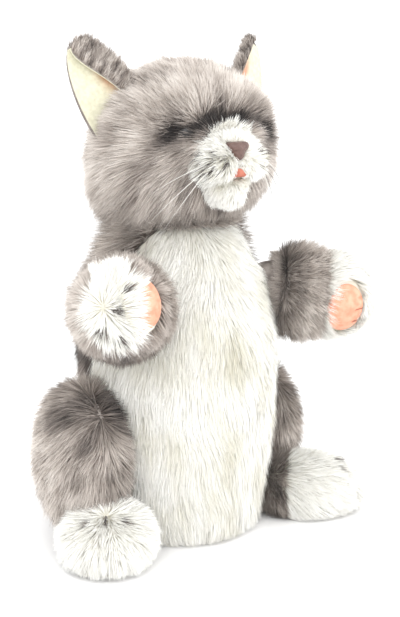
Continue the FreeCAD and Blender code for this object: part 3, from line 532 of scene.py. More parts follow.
# Painted shade in the crease round the muzzle, where it meets the head.
tone -= 0.22 * bump_at(line_distance(roots, np.array([[-22, -44, 236], [-22, -44, 222],
                                                      [-14, -40, 208], [14, -40, 208],
                                                      [22, -44, 222], [22, -44, 236.0]])), 5)
# Painted shade: darker towards the bottom of the head, under it.
tone -= 0.10 * np.clip((214 - z) / 12, 0, 1)
# Painted shade in the hollow below the right cheek tuft.
tone -= 0.18 * bump_at(line_distance(roots, np.array([[-36, -36, 232], [-46, -24, 214.0]])), 7)
# Painted highlight: paler along the top of the brow bulge.
tone += 0.10 * bump_at(line_distance(roots, BROW + [0, 10, 14]), 10)
patch = ((roots - [0, -50, 243]) / [12, 20, 7])
white = (patch ** 2).sum(1) < 1
lay = 1.35 - 0.85 * np.clip(brow, 0, 1)
for side, sign in (("left", 1), ("right", -1)):
    mine = (x * sign >= 0) & ~white
    coat("head", f"head_pile_{side}", (roots, out, comb * lay[:, None], length, tone), GREY_PILE, 37 + sign,
         only=mine, lay=1, width=0.38, tuft=5.5, gather=0.4, wild=0.27)
coat("head", "bridge_pile", (roots, out, along_skin(away, out), 6.5 + 0 * x, 0.85 + 0.1 * mottle(roots, 8, 39)),
     WHITE_PILE, 40, only=white, lay=0.5, tuft=3.5)

# ------------------------------------------------------------------ stuffing, pockets and washers
# Polyester fibre fills the head, arms, paws, legs and tail round the finger pockets of thin
# lining, and moulded washers lock the stems of the eyes and the nose. None of it shows.
STUFFING = backing_material("polyester_fibre", (222, 222, 220), (250, 250, 248), 300, 0.8)
POCKET = woven_material("pocket_cloth", (205, 203, 198), (230, 229, 226), 900)
WASHER = backing_material("washer_plastic", (214, 214, 210), (226, 226, 222), 700, 0.1)
for node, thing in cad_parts.items():
    found = {"stuffing": STUFFING, "pocket": POCKET, "washer": WASHER}
    for word, material in found.items():
        if word in node:
            thing.data.materials.clear()
            thing.data.materials.append(material)

# ------------------------------------------------------------------ muzzle
# The muzzle is a white plush patch, stuffed into two cheek lobes under the nose with a
# round chin below, and its top runs up between the eyes. The pile is brushed away from
# the nose, with a few grey flecks where the whiskers are set.
MUZZLE = np.array([0, -44, 226.0])
MUZZLE_HALF = np.array([24, 17, 21.0])
NOSE = np.array([0, -58.5, 237.0])

way = directions(80, 110)
swell = (4.2 * (bell(way, 30, 4, 17) + bell(way, -30, 4, 17)) + 3.5 * bell(way, 0, -48, 20)
         - 3.0 * bump_at(np.degrees(np.arctan2(way[..., 0], -way[..., 1])), 9) * bump_at(way[..., 2] - 0.08, 0.3)
         - 3.4 * bump_at(way[..., 2] + 0.30, 0.11) * np.clip(-way[..., 1], 0, 1))
narrow = 0.92 - 0.34 * np.clip((0.05 - way[..., 2]) / 0.5, 0, 1) ** 1.5
narrowing = np.stack([narrow, 1 + 0 * narrow, 1 + 0 * narrow], -1)
muzzle_grid = MUZZLE + (way * MUZZLE_HALF + way * swell[..., None]) * narrowing
muzzle_skin = cloth("muzzle_cloth", muzzle_grid, WHITE_BACKING, low_pole=True, high_pole=True)
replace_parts(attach(muzzle_skin, "head"), "muzzle")
roots, out = sow(muzzle_grid, 6, 41)
x, y, z = roots.T
inside = ((roots - HEAD) / (HEAD_HALF + 0.5))
kept = (inside ** 2).sum(1) > 1
kept &= ~((np.abs(x) < np.interp(z, [231.5, 240], [2.0, 6.0])) & (z > 231.5) & (z < 240) & (y < -55))
kept &= ~((np.abs(x) < np.interp(z, [220, 225], [4.4, 1.0])) & (z > 220) & (z < 225) & (y < -50))
roots, out = roots[kept], out[kept]
x, y, z = roots.T
comb = along_skin((roots - NOSE) * [1.2, 0.2, 1] / 12 + np.stack([0 * x, 0.5 + 0 * x, -0.45 * (z < 232)], 1), out)
near_nose = bump_at(np.linalg.norm(roots - NOSE, axis=1), 8)
# The groove of the mouth line below the cheek lobes: its pile is shorter there, and darker with painted shade.
mouth_gap = bump_at(line_distance(roots, np.array([[-15, -54, 215], [0, -58, 221.5], [15, -54, 215.0]])), 3.0)
length = 5.6 + 1.2 * bump_at(np.abs(x) - 18, 8) * (z > 219) - 2.6 * near_nose - 3.0 * mouth_gap
length *= 1 - 0.5 * ((np.abs(x) < 7) & (z > 222) & (z < 232))
fleck = (mottle(roots, 3.2, 42) > 0.35) * bump_at(np.abs(x) - 15, 6) * bump_at(z - 230, 6)
tone = 0.88 + 0.07 * mottle(roots, 8, 43) - 0.55 * fleck - 0.42 * mouth_gap
coat("head", "muzzle_pile", (roots, out, comb, length, tone), WHITE_PILE, 44, lay=0.95, width=0.36, tuft=3.4,
     wild=0.25)
grey = np.flatnonzero(fleck > 0.4)[::3]
coat("head", "muzzle_flecks", (roots + out * 1.5, out, comb, length, 0.12 + 0 * x), GREY_PILE, 45, only=grey,
     lay=0.95, width=0.36, tuft=3.4)

# ------------------------------------------------------------------ nose, lip and eyes
# The nose is moulded in brown plastic, a rounded triangle with its flat side up. The lower
# lip is a scrap of peach felt. The eyes are dark domes sunk in the brow's fur.


def moulded_material(name, deep, pale, roughness, coat):
    """Moulded plastic: a hardly mottled colour with a pebbled skin under its gloss."""
    material, tree, shader = fresh(name, roughness)
    shader.inputs["Specular IOR Level"].default_value = 0.5
    shader.inputs["Coat Weight"].default_value = coat
    grain = noise_over(tree, 900, 3)
    tree.links.new(ramp(tree, grain, [(0.3, colour(*deep)), (0.7, colour(*pale))]), shader.inputs["Base Color"])
    raised(tree, shader, grain, 0.25, 0.0003)
    return material


def felt_material(name, deep, pale, size=260):
    """Pressed felt: soft clouds of colour and short fibres lying every way."""
    return backing_material(name, deep, pale, size, 0.55)


NOSE_PLASTIC = moulded_material("nose_plastic", (84, 62, 56), (112, 86, 78), 0.45, 0.15)
EYE_PLASTIC = moulded_material("eye_plastic", (12, 10, 10), (20, 17, 16), 0.28, 0.0)
PEACH_FELT = felt_material("peach_felt", (222, 152, 126), (236, 178, 152))
LIP_FELT = felt_material("lip_felt", (176, 104, 86), (200, 130, 110))


def dome(centre, outline, bulge, skirt=1.5, rings=14):
    """A cushion over an outline in the plane that faces the front: rings shrink from the outline to the
    middle while the face rises by bulge times the root of one minus the ring's share squared, and a skirt
    goes back behind the edge. Rows run inwards, columns round."""
    share = np.concatenate([[1.0, 1.0], np.cos(np.linspace(0.12, np.pi / 2 - 0.02, rings))])
    rise = np.concatenate([[-skirt, 0.0], bulge * np.sqrt(1 - share[2:] ** 2)])
    across, up = outline[:, 0] * share[:, None], outline[:, 1] * share[:, None]
    return centre + np.stack([across, -rise[:, None] + 0 * across, up], -1)


turn = np.linspace(0, 2 * np.pi, 72, endpoint=False)
corner = 1 + 0.20 * np.cos(3 * (turn + np.pi / 2)) + 0.03 * np.cos(6 * (turn + np.pi / 2))
nose_line = np.stack([6.3 * corner * np.cos(turn), 5.2 * corner * np.sin(turn) - 0.6], 1)
nose_grid = dome(NOSE + [0, -0.6, 0], nose_line, 4.4, skirt=4)
for side in (-1, 1):
    nostril = bump_at(np.hypot(nose_grid[..., 0] - side * 3.6, nose_grid[..., 2] - 235.4), 1.3)
    nose_grid[..., 1] += 1.1 * nostril * (nose_grid[..., 1] < -59)
nose = cloth("nose_moulding", nose_grid, NOSE_PLASTIC, low_pole=True, high_pole=True)
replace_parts(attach(nose, "head"), "nose")
lip_line = np.stack([4.2 * corner * np.cos(turn), -2.4 * corner * np.sin(turn)], 1)
lip = cloth("lip_felt_scrap", dome(np.array([0, -60.4, 222.8]), lip_line, 2.4, skirt=4)[:, ::-1], LIP_FELT,
            low_pole=True, high_pole=True)
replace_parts(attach(lip, "head"), "lower_lip")
for side in ("left", "right"):
    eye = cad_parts[f"eye_{side}"]
    eye.data.materials.clear()
    eye.data.materials.append(EYE_PLASTIC)

# ------------------------------------------------------------------ ears
# Each ear is a leaf of short grey plush lined with cream velour. Its outer edge is cupped and its inner
# edge is folded over forwards, with a peach colour brushed into the fold and a painted shadow under it.
EAR_ROOT, EAR_TURN, EAR_LEAN = np.array([39, -1, 249.0]), np.radians(26), np.radians(32)
EAR_LENGTH, EAR_HALF = 55, 19


def velour_material():
    """Cream velour: its peach_and_shadow attribute runs from the plain cloth to the peach colour and on to a
    painted shadow under the fold, over fine clouds of nap."""
    material, tree, shader = fresh("ear_velour", 0.9, 0.3)
    peach_and_shadow = tree.nodes.new("ShaderNodeAttribute")
    peach_and_shadow.attribute_name = "peach_and_shadow"
    # The last stop of the ramp is a painted shadow under the fold.
    shade = ramp(tree, peach_and_shadow.outputs["Fac"], [(0, colour(224, 221, 198)), (0.35, colour(218, 198, 170)),
                                             (0.65, colour(204, 150, 120)), (1, colour(104, 92, 84))])
    nap = noise_over(tree, 420, 5)
    cloud = ramp(tree, nap, [(0.3, colour(232, 231, 226)), (0.7, colour(255, 255, 255))])
    tree.links.new(times(tree, shade, cloud), shader.inputs["Base Color"])
    raised(tree, shader, nap, 0.5, 0.0005)
    return material


VELOUR = velour_material()


def turned_by(yaw, pitch, roll):
    """The turn that rolls about X, then pitches about Y, then yaws about Z."""
    cy, sy, cp, sp, cr, sr = np.cos(yaw), np.sin(yaw), np.cos(pitch), np.sin(pitch), np.cos(roll), np.sin(roll)
    about_z = np.array([[cy, -sy, 0], [sy, cy, 0], [0, 0, 1]])
    about_y = np.array([[cp, 0, sp], [0, 1, 0], [-sp, 0, cp]])
    about_x = np.array([[1, 0, 0], [0, cr, -sr], [0, sr, cr]])
    return about_z @ about_y @ about_x


def ear_leaf(sign, rise, start, end, forward, rows=44):
    """The leaf from its root to its tip. Across it, a row runs from the outer edge to the fold near the inner
    edge, then round a narrow arc and back over the front as a flap, which reaches further over the leaf
    towards the tip. forward moves it out of its own face, and start and end cut it short at its edges."""
    up = np.linspace(-0.10, rise, rows)[:, None]
    taper = np.sqrt(np.clip(1 - np.clip((up - 0.2) / 0.803, 0, 1) ** 1.7, 0.003, 1))
    half = EAR_HALF * taper * (1 - 0.06 * np.clip(up, 0, 1))
    fold_at = half * 0.86
    edge_in, reach_over = (0.52, 1.35) if sign < 0 else (0.74, 0.12)
    flap_end = half * (edge_in - reach_over * np.clip(up, 0, 1) ** 2.4)
    flat = np.linspace(start, 1, 22)[None]
    turn = np.concatenate([0 * flat[0], np.linspace(0.15, 1, 7), np.ones(10)])[None] * np.radians(165)
    back = np.concatenate([np.zeros(29), np.linspace(0, end, 11)[1:]])[None]
    edge = np.concatenate([flat[0], np.ones(17)])[None]
    bend = 1.8 - forward
    x = np.where(edge < 1, -half + (fold_at + half) * (edge + 1) / 2, fold_at)
    x = x + bend * np.sin(turn) + back * (fold_at - flap_end) * np.cos(turn)
    z = 1.8 - bend * np.cos(turn) + back * (fold_at - flap_end) * np.sin(turn)
    share = x / half
    z = (z + 5.0 * np.clip(-share, 0, 1) ** 2 * np.clip(1.2 - up, 0, 1) * (turn == 0)
         + 2.5 * np.sin(np.pi * np.clip(up, 0, 1)))
    local = np.stack([-sign * x, up * EAR_LENGTH + 0 * x, z], -1)
    if sign > 0:
        local = local[:, ::-1]
    matrix = turned_by(sign * EAR_TURN, sign * EAR_LEAN, np.pi / 2)
    return local @ matrix.T + EAR_ROOT * [sign, 1, 1], np.where(turn == 0, share, 2) + 0 * up, up + 0 * share


for side, sign in (("left", 1), ("right", -1)):
    leaf, _, _ = ear_leaf(sign, 1.0, -1, 1, 0)
    back = cloth(f"ear_{side}_cloth", leaf[:, ::-1], GREY_BACKING, round_about=False, wall=1.0)
    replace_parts(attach(back, "head"), f"ear_{side}_back")
    inner, share, up = ear_leaf(sign, 0.965, -0.92, 1.04, 1.4)
    lining = cloth(f"ear_{side}_velour", inner, VELOUR, round_about=False, wall=0.7)
    if sign > 0:
        share = share[:, ::-1]
    # A peach patch on the lining, and towards its foot a painted shadow under the folded flap.
    peach_and_shadow = np.clip(0.62 * bump_at(share - 0.30, 0.24) * bump_at(up - 0.55, 0.2)
                   + 0.9 * bump_at(share - 0.6, 0.22) * bump_at(up - 0.2, 0.3), 0, 1)
    peach_and_shadow_values = lining.data.attributes.new("peach_and_shadow", "FLOAT", "POINT")
    peach_and_shadow_values.data.foreach_set("value", peach_and_shadow.astype(np.float32).ravel())
    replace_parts(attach(lining, "head"), f"ear_{side}_lining")
    roots, out = sow(leaf[:, ::-1], 4.4, 50 + sign, round_about=False)
    comb = along_skin(np.array([-sign * 0.6, 0.1, 1.0]) + 0 * out, out)
    tone = 0.56 + 0.24 * mottle(roots, 6, 51) + 0.2 * mottle(roots, 2.2, 52)
    coat("head", f"ear_{side}_pile", (roots, out, comb, 4.2 + 0 * tone, tone), GREY_PILE, 53 + sign, lay=1.2,
         width=0.32, tuft=2.5, gather=0.35)

# ------------------------------------------------------------------ whiskers
# Nylon hairs, dark and white, drawn through the muzzle and knotted inside. They sweep
# down and back from the cheek lobes.
WHISKER = moulded_material("whisker_nylon", (60, 54, 50), (150, 144, 138), 0.4, 0.0)


def tapered(path, root, sides=6):
    """A thin round hair along a path of points: rings square to it, whose radius falls from root to a
    tenth of it at the tip."""
    way = unit(np.gradient(path, axis=0))
    across = unit(np.cross(way, [0.3, 0.2, 1.0]))
    over = np.cross(way, across)
    radius = root * np.linspace(1, 0.1, len(path))[:, None, None]
    turn = np.linspace(0, 2 * np.pi, sides, endpoint=False)[None, :, None]
    return path[:, None] + radius * (np.cos(turn) * across[:, None] + np.sin(turn) * over[:, None])


def join(name, objects):
    """Several objects made one, under the first one's name."""
    with bpy.context.temp_override(active_object=objects[0], selected_editable_objects=objects):
        bpy.ops.object.join()
    objects[0].name = name
    return objects[0]


PALE_WHISKER = moulded_material("pale_whisker_nylon", (222, 220, 214), (240, 239, 235), 0.4, 0.0)
for side, sign in (("left", 1), ("right", -1)):
    for shade, material, hairs in (("dark", WHISKER, [(0.42, 0.30, 40), (0.62, 0.34, 44), (0.95, 0.30, 38)]),
                                   ("pale", PALE_WHISKER, [(0.30, 0.32, 36), (0.78, 0.36, 42), (1.15, 0.28, 34)])):
        made = []
        for n, (drop, back, long) in enumerate(hairs):
            t = np.linspace(0, 1, 16)[:, None]
            start = np.array([sign * (17 + 0.8 * n), -58.5 + 1.2 * n, 230 - 2.2 * n])
            path = start + t * long * unit(np.array([sign, back, -drop])) + np.array([-sign * 2, 9, -9]) * t ** 2
            made.append(cloth(f"whisker_{side}_{shade}_{n}", tapered(path, 0.3), material,
                              low_pole=True, high_pole=True))
        bunch = join(f"whiskers_{side}_{shade}", made)
        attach(bunch, "head")
    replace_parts(bunch, f"whiskers_{side}")

# ------------------------------------------------------------------ forelegs
# Each foreleg is a short tube of grey plush over a finger pocket, gathered onto a ball of
# plush in the armhole. Soft folds ring it, and darker bands cross it near its root. Painted shade darkens it where it
# meets the body and, on the right foreleg, along its underside.
ARM = {"left": (np.radians(54), np.radians(-6)), "right": (np.radians(-38), np.radians(11))}
ARM_TONES = {"left": 0.80, "right": 0.78}
BALL_RADIUS, BALL_EDGE = 16.8, np.radians(38.2)
ARM_ROOT, ARM_MIDDLE, ARM_CUFF, ARM_ROOT_RADIUS, ARM_RADIUS = 7, 21, 31, 19.5, 24.5


def arm_frame(side):
    """The turn of an arm's own frame, whose Z runs out along the arm and whose Y is up."""
    turn, lift = ARM[side]
    return turned_by(turn, 0, np.pi / 2 - lift)


def tube(radius, height, turn_matrix, origin, columns=96, squeeze=1.0):
    """A radius at each height along a frame's Z, carried round it, from row to row outwards."""
    turn = np.linspace(0, 2 * np.pi, columns, endpoint=False)[None]
    local = np.stack([radius * np.sin(turn), -radius * np.cos(turn) * squeeze, height + 0 * turn], -1)
    return local @ turn_matrix.T + origin


for side, sign in (("left", 1), ("right", -1)):
    turn, origin = arm_frame(side), SHOULDERS[side]
    axis = turn[:, 2]
    # the gathered ball
    spread = np.linspace(BALL_EDGE, np.pi - BALL_EDGE, 40)[:, None]
    pleat = 1 + 0.012 * np.sin(24 * np.linspace(0, 2 * np.pi, 96, endpoint=False))[None]
    ball = tube(BALL_RADIUS * np.sin(spread) * pleat, -BALL_RADIUS * np.cos(spread), turn, origin)
    gusset = cloth(f"shoulder_{side}_cloth", ball, GREY_BACKING, wall=2.5)
    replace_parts(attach(gusset, f"shoulder_{side}"), f"shoulder_gusset_{side}")
    # the sleeve of the arm
    height = np.linspace(ARM_ROOT, ARM_CUFF, 30)[:, None]
    rise = np.sqrt(np.clip(1 - ((ARM_MIDDLE - height) / (ARM_MIDDLE - ARM_ROOT)) ** 2, 0, 1))
    radius = np.where(height < ARM_MIDDLE, ARM_ROOT_RADIUS + (ARM_RADIUS - ARM_ROOT_RADIUS) * rise,
                      ARM_RADIUS - 1.77 * ((height - ARM_MIDDLE) / 10) ** 2)
    radius = radius - 0.5 * (1 + np.sin(height * 1.1 + 0.5))
    arm_grid = tube(radius, height, turn, origin)
    arm_skin = cloth(f"arm_{side}_cloth", arm_grid, GREY_BACKING, wall=2.2)
    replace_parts(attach(arm_skin, f"arm_{side}"), f"arm_sleeve_{side}")
    # its pile, with a collar of fur that hides the shoulder
    roots, out = sow(arm_grid, 4.3, 60 + sign)
    reach = (roots - origin) @ axis
    comb = along_skin(axis + [0, 0, -0.35] + 0 * out, out)
    band = bump_at(np.sin(reach * 0.62 + 0.8 * mottle(roots, 20, 61)) - 1, 0.5)
    # Painted shade where the arm meets the body, strongest on the left arm.
    tone = (ARM_TONES[side] + 0.14 * mottle(roots, 9, 62) - 0.20 * band
            - (0.46 if side == "left" else 0.05) * bump_at(reach - 5, 7))
    if side == "right":
        # Painted shade along the underside of the right arm.
        tone = tone - 0.30 * bump_at(roots[:, 2] - 124, 9)
    coat(f"arm_{side}", f"arm_pile_{side}", (roots, out, comb, 9.5 - 0.06 * reach, tone), GREY_PILE, 63 + sign,
         lay=0.95, tuft=4.5)
    collar = tube(np.array([[18.6], [19.3]]), np.array([[3.0], [7.5]]), turn, origin)
    roots, out = sow(collar, 7.0, 66 + sign)
    comb = along_skin(-axis + 0 * out, out)
    # The collar is darker than the arm, with painted shade at the arm's root.
    tone = ARM_TONES[side] - 0.12 + 0.1 * mottle(roots, 9, 62)
    coat(f"arm_{side}", f"arm_collar_{side}", (roots, out, comb, 6.5 + 0 * tone, tone), GREY_PILE, 67 + sign,
         lay=0.55, tuft=4)

# ------------------------------------------------------------------ forepaws
# Round white paws close the forelegs, the right one with a grey cuff. Short dark pile marks
# the toes, and a peach felt palm faces the other paw, with the toes stitched in reddish
# thread into its edge.
PAW_RADIUS, PAW_REACH = 23.5, 37
PALM_UP, PALM_ALONG, PALM_LIFT, PALM_SWELL = 17.5, 12.5, 1.6, 2.8
PALM_TWIST = {"left": np.radians(10), "right": np.radians(-20)}
WRIST = {"left": np.radians(20), "right": np.radians(50)}
ACROSS = np.array([0.82, -0.57, 0])
TOE_SPOTS = ((3, 14), (-2, 5), (-7, -4), (0, -8))
THREAD = felt_material("toe_thread", (150, 84, 66), (176, 104, 84), 900)


def stitch(name, path, radius=0.45):
    """A thread that lies along a path of points, round and the same thickness all along but for its ends."""
    grid = tapered(path, radius, 8)
    middle = path[:, None]
    taper = np.sin(np.linspace(0.25, np.pi - 0.25, len(path)))[:, None, None] ** 0.4
    share = np.linspace(1, 0.1, len(path))[:, None, None]
    return cloth(name, middle + (grid - middle) / share * taper, THREAD, low_pole=True, high_pole=True)


for side, sign in (("left", 1), ("right", -1)):
    turn, origin = arm_frame(side), SHOULDERS[side]
    axis = turn[:, 2]
    paw_centre = origin + axis * PAW_REACH
    twist = sign * PALM_TWIST[side]
    spin = turn @ turned_by(twist, 0, 0)
    facing = spin @ np.array([-sign * np.cos(WRIST[side]), 0, np.sin(WRIST[side])])
    sideways = spin @ np.array([0, 1.0, 0])
    along = np.cross(sideways, facing) * sign
    along = along if along @ axis > 0 else -along
    # the skin
    spread = np.linspace(np.arccos(-6 / PAW_RADIUS), 0.02, 40)[:, None]
    round_turn = np.linspace(0, 2 * np.pi, 96, endpoint=False)[None]
    toes = 1 + 0.045 * np.cos(9 * round_turn) * bump_at(spread - 0.75, 0.35)
    paw_grid = tube(PAW_RADIUS * np.sin(spread) * toes, PAW_REACH + PAW_RADIUS * np.cos(spread), turn, origin)
    paw_skin = cloth(f"paw_{side}_cloth", paw_grid, WHITE_BACKING, high_pole=True, wall=2.2)
    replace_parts(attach(paw_skin, f"arm_{side}"), f"paw_{side}")
    # the palm: a felt cushion bent round the paw
    ring = np.sin(np.linspace(0.02, np.pi / 2, 26))[::-1, None]
    way_round = np.linspace(0, 2 * np.pi, 72, endpoint=False)[None]
    flat_up, flat_along = PALM_UP * ring * np.sin(way_round), PALM_ALONG * ring * np.cos(way_round)
    stitched = sum(bump_at(flat_up - s, 0.9) for s in (-7, 0, 7)) * np.clip((flat_along - 3) / 3, 0, 1)
    lift = PALM_LIFT + PALM_SWELL * np.sqrt(np.clip(1 - ring ** 2, 0, 1)) - 0.9 * stitched * (ring < 0.97)
    facing_out = unit(facing + (flat_up[..., None] * sideways + flat_along[..., None] * along) / PAW_RADIUS)
    pad_grid = paw_centre + facing_out * (PAW_RADIUS + lift)[..., None]
    under = paw_centre + facing_out[:1] * (PAW_RADIUS - 1.5)
    pad_grid = np.concatenate([under, pad_grid])
    if np.cross(sideways, along) @ facing > 0:
        pad_grid = pad_grid[:, ::-1]
    palm = cloth(f"palm_{side}_felt", pad_grid, PEACH_FELT, low_pole=True, high_pole=True)
    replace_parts(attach(palm, f"arm_{side}"), f"palm_pad_{side}")
    threads = []
    for n, place in enumerate((-7.0, 0.0, 7.0)):
        t = np.linspace(1.5, 11.5, 14)[:, None]
        bend = place * (1 + 0.03 * (t - 1.5)) + 0.6 * np.sin((t - 1.5) / 3.2)
        reach_out = unit(facing + (bend * sideways + t * along) / PAW_RADIUS)
        ring_here = np.sqrt((t / PALM_ALONG) ** 2 + (bend / PALM_UP) ** 2)
        stand = PALM_LIFT + PALM_SWELL * np.sqrt(np.clip(1 - ring_here ** 2, 0, 1)) - 0.5
        path = paw_centre + reach_out * (PAW_RADIUS + stand)
        threads.append(stitch(f"palm_stitch_{side}_{n}", path, 0.32))
    sewn = join(f"palm_stitches_{side}", threads)
    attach(sewn, f"arm_{side}")
    # the pile, clear of the palm, with the dark toe lines drawn in
    roots, out = sow(paw_grid, 4.4, 70 + sign)
    flat = (roots - paw_centre) / PAW_RADIUS
    u, v = flat @ sideways * PAW_RADIUS, flat @ along * PAW_RADIUS
    on_palm = ((u / 17.2) ** 2 + (v / 12.2) ** 2 < 1) & (flat @ facing > 0)
    covered = on_palm & ((roots - paw_centre) @ ACROSS < 8.5) & (side == "right")
    kept = ~on_palm | covered
    roots = roots + out * 3.6 * covered[:, None]
    roots, out, u, v = roots[kept], out[kept], u[kept], v[kept]
    front = unit(roots - paw_centre)
    over_palm = np.clip(bump_at(u, 26) * bump_at(np.abs(v) - 13, 7), 0, 1)[:, None]
    comb = along_skin(axis * (1 if side == "left" else -0.8) + 0.5 * front + [0, 0, -0.2]
                      - 0.9 * over_palm * along * np.sign(v)[:, None], out)
    back_of_paw = unit(-facing + 0.9 * axis)
    over = np.cross(back_of_paw, sideways)
    side_place, line_place = front @ sideways * PAW_RADIUS, front @ over * PAW_RADIUS
    on_back = front @ back_of_paw > 0.5
    across, above = (roots - paw_centre) @ ACROSS, (roots - paw_centre)[:, 2]
    if side == "left":
        toe_line = sum(bump_at(side_place - s, 0.8) for s in (-9, -3, 3, 9)) * bump_at(line_place, 3.5) * on_back
    else:
        toe_line = sum(bump_at(np.hypot(across - a, (above - b) * 1.6), 2.0)
                       for a, b in TOE_SPOTS) * (front @ axis > 0)
    length = (7.4 + 0.8 * mottle(roots, 7, 71)) * (1 - 0.3 * np.clip(toe_line, 0, 1))
    tone = 0.92 + 0.05 * mottle(roots, 8, 72)
    dark = toe_line > 0.55
    ragged = 0.22 * mottle(roots, 5, 77)
    cuff = (((across + 1) / 14) ** 2 + ((above - 5) / 20) ** 2 + ragged > 1) & (side == "right")
    toes_shown = dark & ~cuff
    white = ~dark & ~cuff
    coat(f"arm_{side}", f"paw_pile_{side}", (roots, out, comb, length, tone), WHITE_PILE, 73 + sign, only=white,
         lay=1.2, tuft=4, gather=0.3)
    if side == "right":
        # Painted light and shade on the cuff: paler on its outer side, darker underneath.
        shade = 0.62 + 0.16 * mottle(roots, 6, 78) + 0.2 * np.clip(-across / 20, 0, 1) - 0.3 * bump_at(above + 22, 8)
        coat("arm_right", "paw_cuff_right", (roots, out, comb, length, shade), GREY_PILE, 79, only=cuff, lay=1.0,
             width=0.38, tuft=4, gather=0.3)
    coat(f"arm_{side}", f"paw_marks_{side}", (roots + out * 1.5, out, comb, length + 2.0, 0.2 + 0 * tone), GREY_PILE,
         75 + sign, only=toes_shown, lay=0.8, tuft=3)

# ------------------------------------------------------------------ hind legs
# Each thigh is a plump grey cushion sewn to the flank by a gathered seam, and each foot a
# white one that lies on the floor on a brown felt sole, with three toe lines in dark pile.
LEG = {"left": (np.radians(17), 46.0), "right": (0.0, 53.0)}
FOOT = {"left": (np.array([76.5, -33, 13.0]), np.radians(52)), "right": (np.array([-72, -32, 13.0]), np.radians(-35))}
THIGH_HALF, FOOT_HALF = np.array([20, 32, 43.0]), np.array([24.5, 31, 20.0])
HIP_OUT, THIGH_SIDE, THIGH_FRONT = 55.6, 72, 4
SOLE_TOP = 2.5
SOLE_FELT = felt_material("sole_felt", (120, 78, 60), (150, 100, 78))


def leg_frame(side, sign):
    """The turn of a leg about the body: its X points outwards and its Y backwards."""
    angle = sign * LEG[side][0]
    return turned_by(angle, 0, 0)


